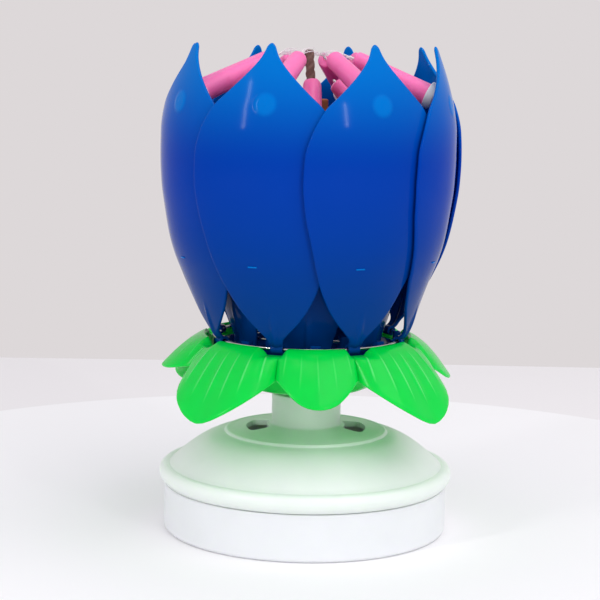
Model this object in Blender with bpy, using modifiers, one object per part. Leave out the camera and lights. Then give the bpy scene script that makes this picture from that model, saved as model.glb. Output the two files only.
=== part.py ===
"""Musical birthday candle: a lotus bud of candle-bearing petals that opens and turns on a music base.

The origin is the middle of the base's underside, +Z is up and the front of the bud faces -Y.
An azimuth is counted from the front, positive towards +X.
"""

import math
from types import SimpleNamespace

import bmesh
import bpy
import numpy as np
from mathutils import Matrix, Vector

mm = 0.001

# Gaps
SEAT_GAP = 0.3 * mm
RUNNING_GAP = 0.3 * mm
CUT_OVERRUN = 1.0 * mm
MERGE_DISTANCE = 0.01 * mm

# Bottom housing
HOUSING_CLEARANCE = 1.36 * mm
HOUSING_HEIGHT = 13.7 * mm
HOUSING_WALL = 1.8 * mm
FLOOR_THICKNESS = 2.0 * mm
FOOT_CHAMFER = 0.8 * mm

# Top cover
BEAD_OVERHANG = 1.5 * mm
BEAD_HEIGHT = 5.3 * mm
GROOVE_INSET = 1.8 * mm
DOME_RISE = 9.3 * mm
DOME_FULLNESS = 1.7
DISC_RADIUS = 24.0 * mm
DISC_HEIGHT = 0.9 * mm
DISC_CROWN = 1.4 * mm
DISC_LIP = 0.5 * mm
NECK_RADIUS = 10.2 * mm
NECK_HEIGHT = 9.5 * mm
COVER_WALL = 1.6 * mm
SLOT_WIDTH = 6.2 * mm
SLOT_LENGTH = 13.2 * mm
SLOT_CENTRE = 14.6 * mm
SLOT_CORNER = 1.6 * mm

# Screws
SCREW_INSET = 4.0 * mm
SCREW_ANGLES = {"left_screw": 180.0, "right_screw": 0.0}
SCREW_RADIUS = 1.2 * mm
SCREW_LENGTH = 15.0 * mm
SCREW_HEAD_RADIUS = 2.2 * mm
SCREW_HEAD_HEIGHT = 1.3 * mm
PILLAR_WALL = 1.3 * mm
PILLAR_HEIGHT = 9.0 * mm

# Battery, its bay and its door
CELL_RADIUS = 7.25 * mm
CELL_LENGTH = 50.5 * mm
CELL_TIP_RADIUS = 2.75 * mm
CELL_TIP_LENGTH = 1.2 * mm
CELL_OFFSET = 22.0 * mm
CONTACT_THICKNESS = 0.8 * mm
CONTACT_WIDTH = 10.0 * mm
CONTACT_HEIGHT = 12.0 * mm
BAY_WALL = 1.4 * mm
BAY_WALL_HEIGHT = 10.0 * mm
DOOR_END_MARGIN = 1.55 * mm
DOOR_SIDE_MARGIN = 1.05 * mm
DOOR_THICKNESS = 1.5 * mm
DOOR_BARREL_RADIUS = 0.8 * mm
DOOR_PIN_RADIUS = 0.42 * mm
DOOR_PIN_LENGTH = 1.2 * mm

# Motor, its pinion and the gear on the spindle
GEAR_MODULE = 1.0 * mm
WHEEL_TEETH = 24
PINION_TEETH = 8
TOOTH_ADDENDUM_SHARE = 0.65
TOOTH_DEDENDUM_SHARE = 1.05
TOOTH_TIP_SHARE = 0.13
TOOTH_ROOT_SHARE = 0.29
GEAR_THICKNESS = 3.0 * mm
GEAR_LEVEL = 11.3 * mm
MOTOR_RADIUS = 10.0 * mm
MOTOR_HEIGHT = 8.0 * mm
MOTOR_SHAFT_RADIUS = 0.75 * mm

# Circuit board and buzzer
BOARD_WIDTH = 17.0 * mm
BOARD_DEPTH = 20.0 * mm
BOARD_THICKNESS = 1.6 * mm
BOARD_CLEARANCE = 1.8 * mm
BOARD_OFFSET_Y = -13.0 * mm
BOARD_POST_HEIGHT = 2.0 * mm
BOARD_POST_RADIUS = 1.5 * mm
BUZZER_RADIUS = 7.0 * mm
BUZZER_HEIGHT = 5.0 * mm
BUZZER_HOLE_RADIUS = 1.2 * mm

# Drive spindle
SPINDLE_RADIUS = 2.0 * mm
FLANGE_RADIUS = 6.0 * mm
FLANGE_THICKNESS = 1.0 * mm
BEARING_WALL = 1.6 * mm
BEARING_HEIGHT = 5.0 * mm

# Calyx: cup, rim and drooping leaves
CALYX_WALL = 1.1 * mm
CUP_FLOOR_RADIUS = 18.5 * mm
RIM_RADIUS = 30.4 * mm
RIM_LEVEL = 57.7 * mm
LEAF_AZIMUTH = 4.6
SMALL_LEAF_HALF_ANGLE = 19.0
NOTCH_REACH = 2.6 * mm
NOTCH_DROP = 7.7 * mm
SMALL_LEAF_REACH = 12.3 * mm
SMALL_LEAF_DROP = 14.3 * mm
LARGE_LEAF_REACH = 16.8 * mm
LARGE_LEAF_DROP = 19.9 * mm
STEM_NOTCH_WIDTH = 6.4 * mm
STEM_NOTCH_REACH = 3.6 * mm
STEM_NOTCH_DEPTH = 3.2 * mm

# Petal hub
HUB_FLOOR_RISE = 8.4 * mm
HUB_WALL = 1.3 * mm
HUB_RIM_LEVEL = 55.2 * mm
HUB_RIM_RADIUS = 27.0 * mm
HUB_SOCKET_WALL = 2.6 * mm
TUBE_COLLAR_HEIGHT = 8.0 * mm
LUG_WIDTH = 3.0 * mm
LUG_THICKNESS = 2.2 * mm
LUG_HEAD = 1.2 * mm
LUG_ROOT = 0.6 * mm
OUTER_LUG_SETBACK = 1.1 * mm
INNER_WALL_DROP = 1.6 * mm

# Hinge wires
WIRE_RADIUS = 0.45 * mm
EYE_BORE_RADIUS = 0.72 * mm
EYE_RADIUS = 1.45 * mm
EYE_WIDTH = 3.6 * mm

# Petals
PETAL_WALL = 1.0 * mm
RIB_HEIGHT = 0.5 * mm
STEM_HALF_WIDTH = 2.0 * mm
OUTER_COUNT = 8
OUTER_AZIMUTH = -17.8
OUTER_HINGE_RADIUS = 27.6 * mm
OUTER_HINGE_LEVEL = 57.4 * mm
OUTER_BULGE_RADIUS = 42.4 * mm
OUTER_TIP_LEVEL = 142.2 * mm
OUTER_HALF_WIDTH = 22.1 * mm
OUTER_EDGE_SHIFT = 0.85 * mm
INNER_COUNT = 6
INNER_AZIMUTH = 0.0
INNER_HINGE_RADIUS = 20.5 * mm
INNER_HINGE_LEVEL = 58.6 * mm
INNER_BULGE_RADIUS = 30.0 * mm
INNER_TIP_LEVEL = 127.2 * mm
INNER_HALF_WIDTH = 16.5 * mm
INNER_EDGE_SHIFT = 0.9 * mm

# Height up the petal and how far it stands out between the hinge and the bulge
OUTER_BULGE_SHARES = (
    (0.011, 0.035), (0.025, 0.120), (0.081, 0.261), (0.130, 0.359), (0.214, 0.542),
    (0.284, 0.704), (0.347, 0.810), (0.435, 0.901), (0.537, 0.979), (0.627, 1.000),
    (0.712, 0.993), (0.793, 0.930), (0.863, 0.831), (0.928, 0.718), (1.000, 0.592),
)
INNER_BULGE_SHARES = (
    (-0.030, 0.100), (0.000, 0.140), (0.050, 0.260), (0.120, 0.430), (0.210, 0.600),
    (0.350, 0.820), (0.435, 0.901), (0.537, 0.979), (0.627, 1.000), (0.712, 0.993),
    (0.793, 0.930), (0.863, 0.831), (0.928, 0.718), (1.000, 0.592),
)
# Height up the petal and its half width there
OUTER_WIDTH_SHARES = (
    (0.011, 0.090), (0.032, 0.104), (0.056, 0.180), (0.091, 0.310), (0.143, 0.466),
    (0.250, 0.688), (0.382, 0.864), (0.476, 0.959), (0.567, 1.000), (0.645, 0.986),
    (0.703, 0.925), (0.790, 0.735), (0.843, 0.515), (0.891, 0.320), (0.931, 0.178),
    (0.960, 0.100), (1.000, 0.036),
)
INNER_WIDTH_SHARES = (
    (-0.030, 0.400), (0.000, 0.430), (0.050, 0.500), (0.120, 0.600), (0.250, 0.780),
    (0.400, 0.930), (0.550, 1.000), (0.645, 0.986), (0.703, 0.919), (0.790, 0.679),
    (0.843, 0.462), (0.891, 0.299), (0.931, 0.172), (0.960, 0.100), (1.000, 0.045),
)
RIB_END_SHARE = 0.13
SHIFT_FULL_SHARE = 0.2

# Candles, their cups and the bosses that carry them
BOSS_RADIUS = 3.2 * mm
BOSS_PAD = 0.3 * mm
OUTER_BOSS_LENGTH = 4.4 * mm
OUTER_BOSS_SHARE = 0.805
OUTER_CANDLE_RISE = 24.0
OUTER_CANDLE_LENGTH = 25.0 * mm
INNER_BOSS_LENGTH = 6.4 * mm
INNER_BOSS_SHARE = 0.774
INNER_CANDLE_RISE = 42.5
INNER_CANDLE_LENGTH = 21.0 * mm
CUP_RADIUS = 4.1 * mm
CUP_WALL = 0.6 * mm
CUP_BASE = 0.9 * mm
CUP_DEPTH = 1.5 * mm
CANDLE_BASE_RADIUS = 3.2 * mm
CANDLE_TIP_RADIUS = 2.5 * mm
CANDLE_SHOULDER = 1.2 * mm
WICK_RADIUS = 0.5 * mm
WICK_LENGTH = 2.0 * mm

# Fountain tube and fuse
TUBE_RADIUS = 4.8 * mm
TUBE_TOP_LEVEL = 126.7 * mm
TUBE_BORE_RADIUS = 1.9 * mm
TUBE_BORE_DEPTH = 6.0 * mm
FUSE_RADIUS = 1.45 * mm
FUSE_STANDOUT = 14.1 * mm
FUSE_LEAN = 1.0 * mm
FUSE_TWIST_DEPTH_SHARE = 0.14
FUSE_TURNS = 2.0
FUSE_STRAIGHT_SHARE = 0.3

# Calyx sheet: out and up the cup from its floor to the rim, then out and down a leaf to its edge
CUP_SHARES = ((0.56, 0.50), (0.95, 0.86), (1.0, 1.0))
LEAF_SHARES = ((0.22, 0.10), (0.52, 0.38), (0.80, 0.74), (1.0, 1.0))
# Powers that round a leaf's edge: first across the leaf, then at its tip
SMALL_LEAF_REACH_FORM = (1.3, 0.5)
SMALL_LEAF_DROP_FORM = (2.2, 1.8)
LARGE_LEAF_REACH_FORM = (2.3, 0.8)
LARGE_LEAF_DROP_FORM = (1.14, 0.95)
# How far each small leaf droops, from the front one on towards +X
SMALL_LEAF_DROOP_SHARES = (1.0, 0.88, 1.0, 0.66)

# Facets
BASE_SEGMENTS = 36
HUB_SEGMENTS = 24
SMALL_SEGMENTS = 12
CANDLE_SEGMENTS = 8
BOSS_SEGMENTS = 8
EYE_SEGMENTS = 8
WIRE_SEGMENTS = 40
WIRE_SIDES = 4
SMALL_LEAF_STEPS = 6
LARGE_LEAF_STEPS = 8
FUSE_SIDES = 8
FUSE_CUTS = 5
SLOT_CUTS = 3
STEP_SHARE = 0.02

# Levels and places that follow
HOUSING_INNER = math.hypot(CELL_LENGTH / 2, CELL_OFFSET + CELL_RADIUS) + HOUSING_CLEARANCE
HOUSING_RADIUS = HOUSING_INNER + HOUSING_WALL
BEAD_RADIUS = HOUSING_RADIUS + BEAD_OVERHANG
GROOVE_RADIUS = HOUSING_RADIUS - GROOVE_INSET
SCREW_CIRCLE = HOUSING_INNER - SCREW_INSET
DOOR_LENGTH = CELL_LENGTH - 2 * DOOR_END_MARGIN
DOOR_WIDTH = 2 * (CELL_RADIUS - DOOR_SIDE_MARGIN)
BOARD_REACH = math.sqrt((HOUSING_INNER - BOARD_CLEARANCE) ** 2 - (BOARD_DEPTH / 2 - BOARD_OFFSET_Y) ** 2)
COVER_LEVEL = HOUSING_HEIGHT + SEAT_GAP
GROOVE_LEVEL = COVER_LEVEL + BEAD_HEIGHT
DISC_EDGE_LEVEL = GROOVE_LEVEL + DOME_RISE
DISC_LEVEL = DISC_EDGE_LEVEL + DISC_HEIGHT + DISC_CROWN
NECK_LEVEL = DISC_LEVEL + NECK_HEIGHT
FLANGE_LEVEL = NECK_LEVEL + RUNNING_GAP
CUP_LEVEL = FLANGE_LEVEL + FLANGE_THICKNESS + SEAT_GAP + CALYX_WALL / 2
SOCKET_LEVEL = CUP_LEVEL + CALYX_WALL / 2 + SEAT_GAP
HUB_FLOOR_LEVEL = SOCKET_LEVEL + HUB_FLOOR_RISE
SPINDLE_TOP = HUB_FLOOR_LEVEL + HUB_WALL - SEAT_GAP
TUBE_LEVEL = HUB_FLOOR_LEVEL + HUB_WALL + SEAT_GAP
SPINDLE_BORE = SPINDLE_RADIUS + RUNNING_GAP
GEAR_CENTRES = GEAR_MODULE * (WHEEL_TEETH + PINION_TEETH) / 2
MOTOR_PLACE = Vector((0, -GEAR_CENTRES, 0))
BOARD_PLACE = (BOARD_REACH - BOARD_WIDTH / 2, BOARD_OFFSET_Y)
CELL_LEVEL = FLOOR_THICKNESS + CELL_RADIUS + SEAT_GAP
DOOR_HINGE_LEVEL = FLOOR_THICKNESS / 2
DOOR_HINGE_OFFSET = CELL_OFFSET - DOOR_WIDTH / 2 + DOOR_BARREL_RADIUS
LEAF_PITCH = 90.0
FUSE_TOP_LEVEL = TUBE_TOP_LEVEL + FUSE_STANDOUT

SMALL_LEAF = SimpleNamespace(
    half_angle=SMALL_LEAF_HALF_ANGLE, reach=SMALL_LEAF_REACH, drop=SMALL_LEAF_DROP,
    reach_form=SMALL_LEAF_REACH_FORM, drop_form=SMALL_LEAF_DROP_FORM, steps=SMALL_LEAF_STEPS,
)
LARGE_LEAF = SimpleNamespace(
    half_angle=LEAF_PITCH / 2 - SMALL_LEAF_HALF_ANGLE, reach=LARGE_LEAF_REACH, drop=LARGE_LEAF_DROP,
    reach_form=LARGE_LEAF_REACH_FORM, drop_form=LARGE_LEAF_DROP_FORM, steps=LARGE_LEAF_STEPS,
)

OUTER = SimpleNamespace(
    name="outer", count=OUTER_COUNT, azimuth=OUTER_AZIMUTH,
    hinge_radius=OUTER_HINGE_RADIUS, hinge_level=OUTER_HINGE_LEVEL,
    bulge_radius=OUTER_BULGE_RADIUS, tip_level=OUTER_TIP_LEVEL,
    half_width=OUTER_HALF_WIDTH, edge_shift=OUTER_EDGE_SHIFT,
    bulge_shares=OUTER_BULGE_SHARES, width_shares=OUTER_WIDTH_SHARES,
    rows=11, columns=6, boss_length=OUTER_BOSS_LENGTH, boss_share=OUTER_BOSS_SHARE,
    candle_rise=OUTER_CANDLE_RISE, candle_length=OUTER_CANDLE_LENGTH,
)
INNER = SimpleNamespace(
    name="inner", count=INNER_COUNT, azimuth=INNER_AZIMUTH,
    hinge_radius=INNER_HINGE_RADIUS, hinge_level=INNER_HINGE_LEVEL,
    bulge_radius=INNER_BULGE_RADIUS, tip_level=INNER_TIP_LEVEL,
    half_width=INNER_HALF_WIDTH, edge_shift=INNER_EDGE_SHIFT,
    bulge_shares=INNER_BULGE_SHARES, width_shares=INNER_WIDTH_SHARES,
    rows=9, columns=4, boss_length=INNER_BOSS_LENGTH, boss_share=INNER_BOSS_SHARE,
    candle_rise=INNER_CANDLE_RISE, candle_length=INNER_CANDLE_LENGTH,
)


def clear_scene():
    """Remove every object that the file opened with."""
    for obj in list(bpy.data.objects):
        bpy.data.objects.remove(obj, do_unlink=True)


def new_collection(name):
    """A collection in the scene."""
    collection = bpy.data.collections.new(name)
    bpy.context.scene.collection.children.link(collection)
    return collection


clear_scene()
PARTS = new_collection("musical_birthday_candle")
CUTTERS = new_collection("cutters")


def material(name, colour, roughness, metallic=0.0):
    """A Principled material."""
    made = bpy.data.materials.new(name)
    made.use_nodes = True
    shader = made.node_tree.nodes["Principled BSDF"]
    shader.inputs["Base Color"].default_value = (*colour, 1.0)
    shader.inputs["Roughness"].default_value = roughness
    shader.inputs["Metallic"].default_value = metallic
    return made


WHITE = material("white_plastic", (0.82, 0.88, 0.84), 0.35)
GREEN = material("green_plastic", (0.0, 0.62, 0.07), 0.2)
BLUE = material("blue_plastic", (0.0, 0.06, 0.42), 0.2)
PINK = material("pink_wax", (0.95, 0.15, 0.42), 0.45)
CUP_WHITE = material("cup_plastic", (0.85, 0.85, 0.85), 0.35)
PAPER = material("brown_paper", (0.17, 0.07, 0.04), 0.8)
KRAFT = material("kraft_tube", (0.45, 0.17, 0.06), 0.75)
STEEL = material("bright_steel", (0.6, 0.6, 0.62), 0.25, 1.0)
GEAR_WHITE = material("gear_plastic", (0.75, 0.75, 0.7), 0.4)
BOARD_GREEN = material("circuit_board", (0.02, 0.2, 0.06), 0.5)
BLACK = material("black_plastic", (0.03, 0.03, 0.03), 0.4)
CELL_JACKET = material("cell_jacket", (0.25, 0.25, 0.28), 0.35, 0.5)


def add_object(name, mesh, colour):
    """Put a mesh in the parts collection under its node's name, or among the cutters without a colour."""
    obj = bpy.data.objects.new(name, mesh)
    if colour is None:
        CUTTERS.objects.link(obj)
        obj.hide_render = True
        obj.display_type = "WIRE"
    else:
        PARTS.objects.link(obj)
        if not mesh.materials:
            mesh.materials.append(colour)
    return obj


def mesh_from(bm, name):
    """Turn a bmesh into a smooth mesh with sharp edges kept."""
    mesh = bpy.data.meshes.new(name)
    bmesh.ops.recalc_face_normals(bm, faces=bm.faces)
    bm.to_mesh(mesh)
    bm.free()
    mesh.shade_smooth()
    mesh.set_sharp_from_angle(angle=math.radians(35))
    return mesh


def evaluated_mesh(obj, name):
    """The mesh that an object's modifiers give, in the object's own space."""
    graph = bpy.context.evaluated_depsgraph_get()
    mesh = bpy.data.meshes.new_from_object(obj.evaluated_get(graph))
    mesh.name = name
    return mesh


def weld(mesh):
    """Merge the loose caps of a curve's mesh."""
    bm = bmesh.new()
    bm.from_mesh(mesh)
    bmesh.ops.remove_doubles(bm, verts=bm.verts, dist=MERGE_DISTANCE)
    bmesh.ops.recalc_face_normals(bm, faces=bm.faces)
    bm.to_mesh(mesh)
    bm.free()


def boolean(obj, other, operation):
    """Join or cut an object with another one."""
    modifier = obj.modifiers.new(other.name, "BOOLEAN")
    modifier.operation = operation
    modifier.object = other
    modifier.solver = "EXACT"


def turned(name, profile, colour, segments, closed=False):
    """A profile of radius and height pairs turned about Z; closed joins its last point to its first."""
    bm = bmesh.new()
    points = [bm.verts.new((radius, 0, height)) for radius, height in profile]
    for first, second in zip(points, points[1:]):
        bm.edges.new((first, second))
    if closed:
        bm.edges.new((points[-1], points[0]))
    mesh = bpy.data.meshes.new(name)
    bm.to_mesh(mesh)
    bm.free()
    obj = add_object(name, mesh, colour)
    screw = obj.modifiers.new("turn", "SCREW")
    screw.steps = segments
    screw.render_steps = segments
    screw.use_merge_vertices = True
    screw.merge_threshold = MERGE_DISTANCE
    screw.use_smooth_shade = True
    return obj


def add_cylinder(bm, radius, low, high, place=(0, 0), segments=SMALL_SEGMENTS):
    """Add an upright cylinder between two levels to a bmesh."""
    centre = Matrix.Translation((place[0], place[1], (low + high) / 2))
    bmesh.ops.create_cone(bm, cap_ends=True, segments=segments, radius1=radius, radius2=radius,
                          depth=high - low, matrix=centre)


def add_box(bm, size, centre, turn=0.0):
    """Add a box to a bmesh, turned about Z through its own middle."""
    matrix = Matrix.Translation(centre) @ Matrix.Rotation(turn, 4, "Z") @ Matrix.Diagonal((*size, 1))
    bmesh.ops.create_cube(bm, size=1, matrix=matrix)


def ring(name, radius, wire, level, segments, sides, colour):
    """A torus about Z."""
    bpy.ops.mesh.primitive_torus_add(major_radius=radius, minor_radius=wire, location=(0, 0, level),
                                     major_segments=segments, minor_segments=sides)
    made = bpy.context.object
    mesh = made.data
    obj = add_object(name, mesh, colour)
    obj.location = (0, 0, level)
    bpy.data.objects.remove(made, do_unlink=True)
    mesh.shade_smooth()
    return obj


def polar(radius, degrees, level=0.0):
    """The place at a radius and a bearing, counted from +X towards +Y."""
    angle = math.radians(degrees)
    return Vector((radius * math.cos(angle), radius * math.sin(angle), level))


def facing(radius, azimuth, level=0.0):
    """The place at a radius and an azimuth, counted from the front towards +X."""
    return polar(radius, azimuth - 90, level)


def dome_point(share, inset=0.0):
    """Radius and level on the dome, from the disc's edge at 0 to the rim's groove at 1."""
    radius = DISC_RADIUS + (GROOVE_RADIUS - DISC_RADIUS) * share
    level = DISC_EDGE_LEVEL - DOME_RISE * share ** DOME_FULLNESS
    return radius - inset / 2, level - inset


def build_bottom_housing():
    """The drum with its floor, gear posts, screw pillars, bay walls and the door's opening."""
    housing = turned("bottom_housing", [
        (0, FLOOR_THICKNESS), (HOUSING_INNER, FLOOR_THICKNESS), (HOUSING_INNER, HOUSING_HEIGHT),
        (HOUSING_RADIUS, HOUSING_HEIGHT), (HOUSING_RADIUS, FOOT_CHAMFER),
        (HOUSING_RADIUS - FOOT_CHAMFER, 0), (0, 0),
    ], WHITE, BASE_SEGMENTS)
    sunk = FLOOR_THICKNESS / 2
    posts = bmesh.new()
    add_cylinder(posts, SPINDLE_BORE + BEARING_WALL, sunk, FLOOR_THICKNESS + BEARING_HEIGHT)
    for side in (-1, 1):
        place = (BOARD_PLACE[0] + side * BOARD_WIDTH / 4, BOARD_PLACE[1])
        add_cylinder(posts, BOARD_POST_RADIUS, sunk, FLOOR_THICKNESS + BOARD_POST_HEIGHT, place)
        wall_x = side * (CELL_LENGTH / 2 + SEAT_GAP + CONTACT_THICKNESS + SEAT_GAP + BAY_WALL / 2)
        wall_high = FLOOR_THICKNESS + BAY_WALL_HEIGHT
        add_box(posts, (BAY_WALL, 2 * CELL_RADIUS, wall_high - sunk),
                (wall_x, CELL_OFFSET, (wall_high + sunk) / 2))
    for angle in SCREW_ANGLES.values():
        add_cylinder(posts, SCREW_RADIUS + RUNNING_GAP + PILLAR_WALL, sunk, FLOOR_THICKNESS + PILLAR_HEIGHT,
                     polar(SCREW_CIRCLE, angle))
    boolean(housing, add_object("housing_posts", mesh_from(posts, "housing_posts"), None), "UNION")
    holes = bmesh.new()
    add_cylinder(holes, SPINDLE_BORE, FLOOR_THICKNESS, FLOOR_THICKNESS + BEARING_HEIGHT + CUT_OVERRUN)
    add_box(holes, (DOOR_LENGTH + 2 * SEAT_GAP, DOOR_WIDTH + 2 * SEAT_GAP,
                    FLOOR_THICKNESS + 2 * CUT_OVERRUN), (0, CELL_OFFSET, FLOOR_THICKNESS / 2))
    for angle in SCREW_ANGLES.values():
        place = polar(SCREW_CIRCLE, angle)
        add_cylinder(holes, SCREW_RADIUS + RUNNING_GAP, SCREW_HEAD_HEIGHT,
                     FLOOR_THICKNESS + PILLAR_HEIGHT + CUT_OVERRUN, place)
    boolean(housing, add_object("housing_holes", mesh_from(holes, "housing_holes"), None), "DIFFERENCE")
    seats = bmesh.new()
    for angle in SCREW_ANGLES.values():
        add_cylinder(seats, SCREW_HEAD_RADIUS + SEAT_GAP, -CUT_OVERRUN, SCREW_HEAD_HEIGHT + 2 * SEAT_GAP,
                     polar(SCREW_CIRCLE, angle))
    pin = Matrix.Translation((0, DOOR_HINGE_OFFSET, DOOR_HINGE_LEVEL))
    pin @= Matrix.Rotation(math.pi / 2, 4, "Y")
    pin_hole = DOOR_PIN_RADIUS + RUNNING_GAP
    bmesh.ops.create_cone(seats, cap_ends=True, segments=SMALL_SEGMENTS, radius1=pin_hole, radius2=pin_hole,
                          depth=DOOR_LENGTH + 2 * DOOR_PIN_LENGTH + 2 * SEAT_GAP, matrix=pin)
    boolean(housing, add_object("housing_seats", mesh_from(seats, "housing_seats"), None), "DIFFERENCE")


def build_battery_door():
    """The door under the cell: a plate with a barrel and two pins along its hinged edge."""
    bm = bmesh.new()
    low = DOOR_HINGE_LEVEL - DOOR_THICKNESS / 2
    plate_width = DOOR_WIDTH - DOOR_BARREL_RADIUS
    add_box(bm, (DOOR_LENGTH, plate_width, DOOR_THICKNESS),
            (0, DOOR_HINGE_OFFSET + plate_width / 2, low + DOOR_THICKNESS / 2))
    place = Vector((0, DOOR_HINGE_OFFSET, DOOR_HINGE_LEVEL))
    for vert in bm.verts:
        vert.co -= place
    door = add_object("battery_door", mesh_from(bm, "battery_door"), WHITE)
    door.location = place
    along = Matrix.Rotation(math.pi / 2, 4, "Y")
    for name, radius, length in (("door_barrel", DOOR_BARREL_RADIUS, DOOR_LENGTH - SEAT_GAP),
                                 ("door_pin", DOOR_PIN_RADIUS, DOOR_LENGTH + 2 * DOOR_PIN_LENGTH)):
        rod = bmesh.new()
        bmesh.ops.create_cone(rod, cap_ends=True, segments=SMALL_SEGMENTS, radius1=radius, radius2=radius,
                              depth=length, matrix=along)
        made = add_object(name, mesh_from(rod, name), None)
        made.location = place
        boolean(door, made, "UNION")


def slot_mesh(name, turn):
    """A cutter for one sound slot: a round-cornered block bent about the neck."""
    slot = bmesh.new()
    depth = COVER_WALL + DISC_CROWN
    add_box(slot, (SLOT_WIDTH, SLOT_LENGTH, depth + 2 * CUT_OVERRUN), (0, 0, DISC_LEVEL - depth / 2))
    upright = [edge for edge in slot.edges if edge.verts[0].co.z != edge.verts[1].co.z]
    bmesh.ops.bevel(slot, geom=upright, offset=SLOT_CORNER, segments=2, profile=0.5, affect="EDGES")
    sides = [edge for edge in slot.edges if abs(edge.verts[0].co.y - edge.verts[1].co.y) > SLOT_LENGTH / 2]
    bmesh.ops.subdivide_edges(slot, edges=sides, cuts=SLOT_CUTS)
    for vert in slot.verts:
        bearing = turn + math.degrees(vert.co.y / SLOT_CENTRE)
        vert.co = polar(SLOT_CENTRE + vert.co.x, bearing, vert.co.z)
    return mesh_from(slot, name)


def build_top_cover():
    """The dome with its rim bead, raised disc, neck, sound slots and screw bosses."""
    outline = [(SPINDLE_BORE, NECK_LEVEL), (NECK_RADIUS, NECK_LEVEL), (NECK_RADIUS, DISC_LEVEL),
               (DISC_RADIUS - DISC_LIP, DISC_LEVEL - DISC_CROWN),
               (DISC_RADIUS, DISC_LEVEL - DISC_CROWN - DISC_LIP)]
    outline += [dome_point(share) for share in (0.0, 0.35, 0.7, 1.0)]
    bead = BEAD_RADIUS - GROOVE_RADIUS
    outline += [(GROOVE_RADIUS + bead * out, GROOVE_LEVEL - BEAD_HEIGHT * down)
                for out, down in ((0.7, 0.02), (1.0, 0.4), (0.9, 0.8))]
    outline += [(HOUSING_RADIUS, COVER_LEVEL), (HOUSING_INNER, COVER_LEVEL)]
    outline += [dome_point(share, COVER_WALL) for share in (1.0, 0.5, 0.0)]
    outline += [(DISC_RADIUS - COVER_WALL, DISC_LEVEL - DISC_CROWN - COVER_WALL),
                (NECK_RADIUS - COVER_WALL, DISC_LEVEL - COVER_WALL),
                (NECK_RADIUS - COVER_WALL, NECK_LEVEL - COVER_WALL), (SPINDLE_BORE, NECK_LEVEL - COVER_WALL)]
    cover = turned("top_cover", outline, WHITE, BASE_SEGMENTS, closed=True)
    for name, turn in (("right_slot", 0), ("left_slot", 180)):
        boolean(cover, add_object(name, slot_mesh(name, turn), None), "DIFFERENCE")
    bosses = bmesh.new()
    holes = bmesh.new()
    boss_low = FLOOR_THICKNESS + PILLAR_HEIGHT + SEAT_GAP
    boss_high = dome_point(0.9, COVER_WALL / 2)[1]
    for angle in SCREW_ANGLES.values():
        place = polar(SCREW_CIRCLE, angle)
        add_cylinder(bosses, SCREW_RADIUS + RUNNING_GAP + PILLAR_WALL, boss_low, boss_high, place)
        add_cylinder(holes, SCREW_RADIUS + RUNNING_GAP, boss_low - CUT_OVERRUN,
                     SCREW_HEAD_HEIGHT + SCREW_LENGTH + 2 * SEAT_GAP, place)
    boolean(cover, add_object("cover_bosses", mesh_from(bosses, "cover_bosses"), None), "UNION")
    boolean(cover, add_object("boss_holes", mesh_from(holes, "boss_holes"), None), "DIFFERENCE")


def build_screws():
    """The two screws that go up through the floor's pillars into the cover's bosses."""
    top = SEAT_GAP + SCREW_LENGTH
    shoulder = SEAT_GAP + SCREW_HEAD_HEIGHT
    for name, angle in SCREW_ANGLES.items():
        screw = turned(name, [
            (0, top), (SCREW_RADIUS, top - SCREW_RADIUS), (SCREW_RADIUS, shoulder),
            (SCREW_HEAD_RADIUS, shoulder), (SCREW_HEAD_RADIUS, SEAT_GAP), (0, SEAT_GAP),
        ], STEEL, SMALL_SEGMENTS)
        screw.location = polar(SCREW_CIRCLE, angle)


def build_battery():
    """The cell lying across the base, and the two contact plates at its ends."""
    body = CELL_LENGTH - CELL_TIP_LENGTH
    half = CELL_LENGTH / 2
    cell = turned("battery_cell", [
        (0, half), (CELL_TIP_RADIUS, half), (CELL_TIP_RADIUS, half - CELL_TIP_LENGTH),
        (CELL_RADIUS, half - CELL_TIP_LENGTH), (CELL_RADIUS, half - CELL_TIP_LENGTH - body), (0, -half),
    ], CELL_JACKET, 2 * SMALL_SEGMENTS)
    cell.location = (0, CELL_OFFSET, CELL_LEVEL)
    cell.rotation_euler = (0, math.pi / 2, 0)
    for name, side in (("negative_contact", -1), ("positive_contact", 1)):
        plate = bmesh.new()
        add_box(plate, (CONTACT_THICKNESS, CONTACT_WIDTH, CONTACT_HEIGHT), (0, 0, CONTACT_HEIGHT / 2))
        contact = add_object(name, mesh_from(plate, name), STEEL)
        contact.location = (side * (half + SEAT_GAP + CONTACT_THICKNESS / 2), CELL_OFFSET,
                            FLOOR_THICKNESS + SEAT_GAP)


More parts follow.
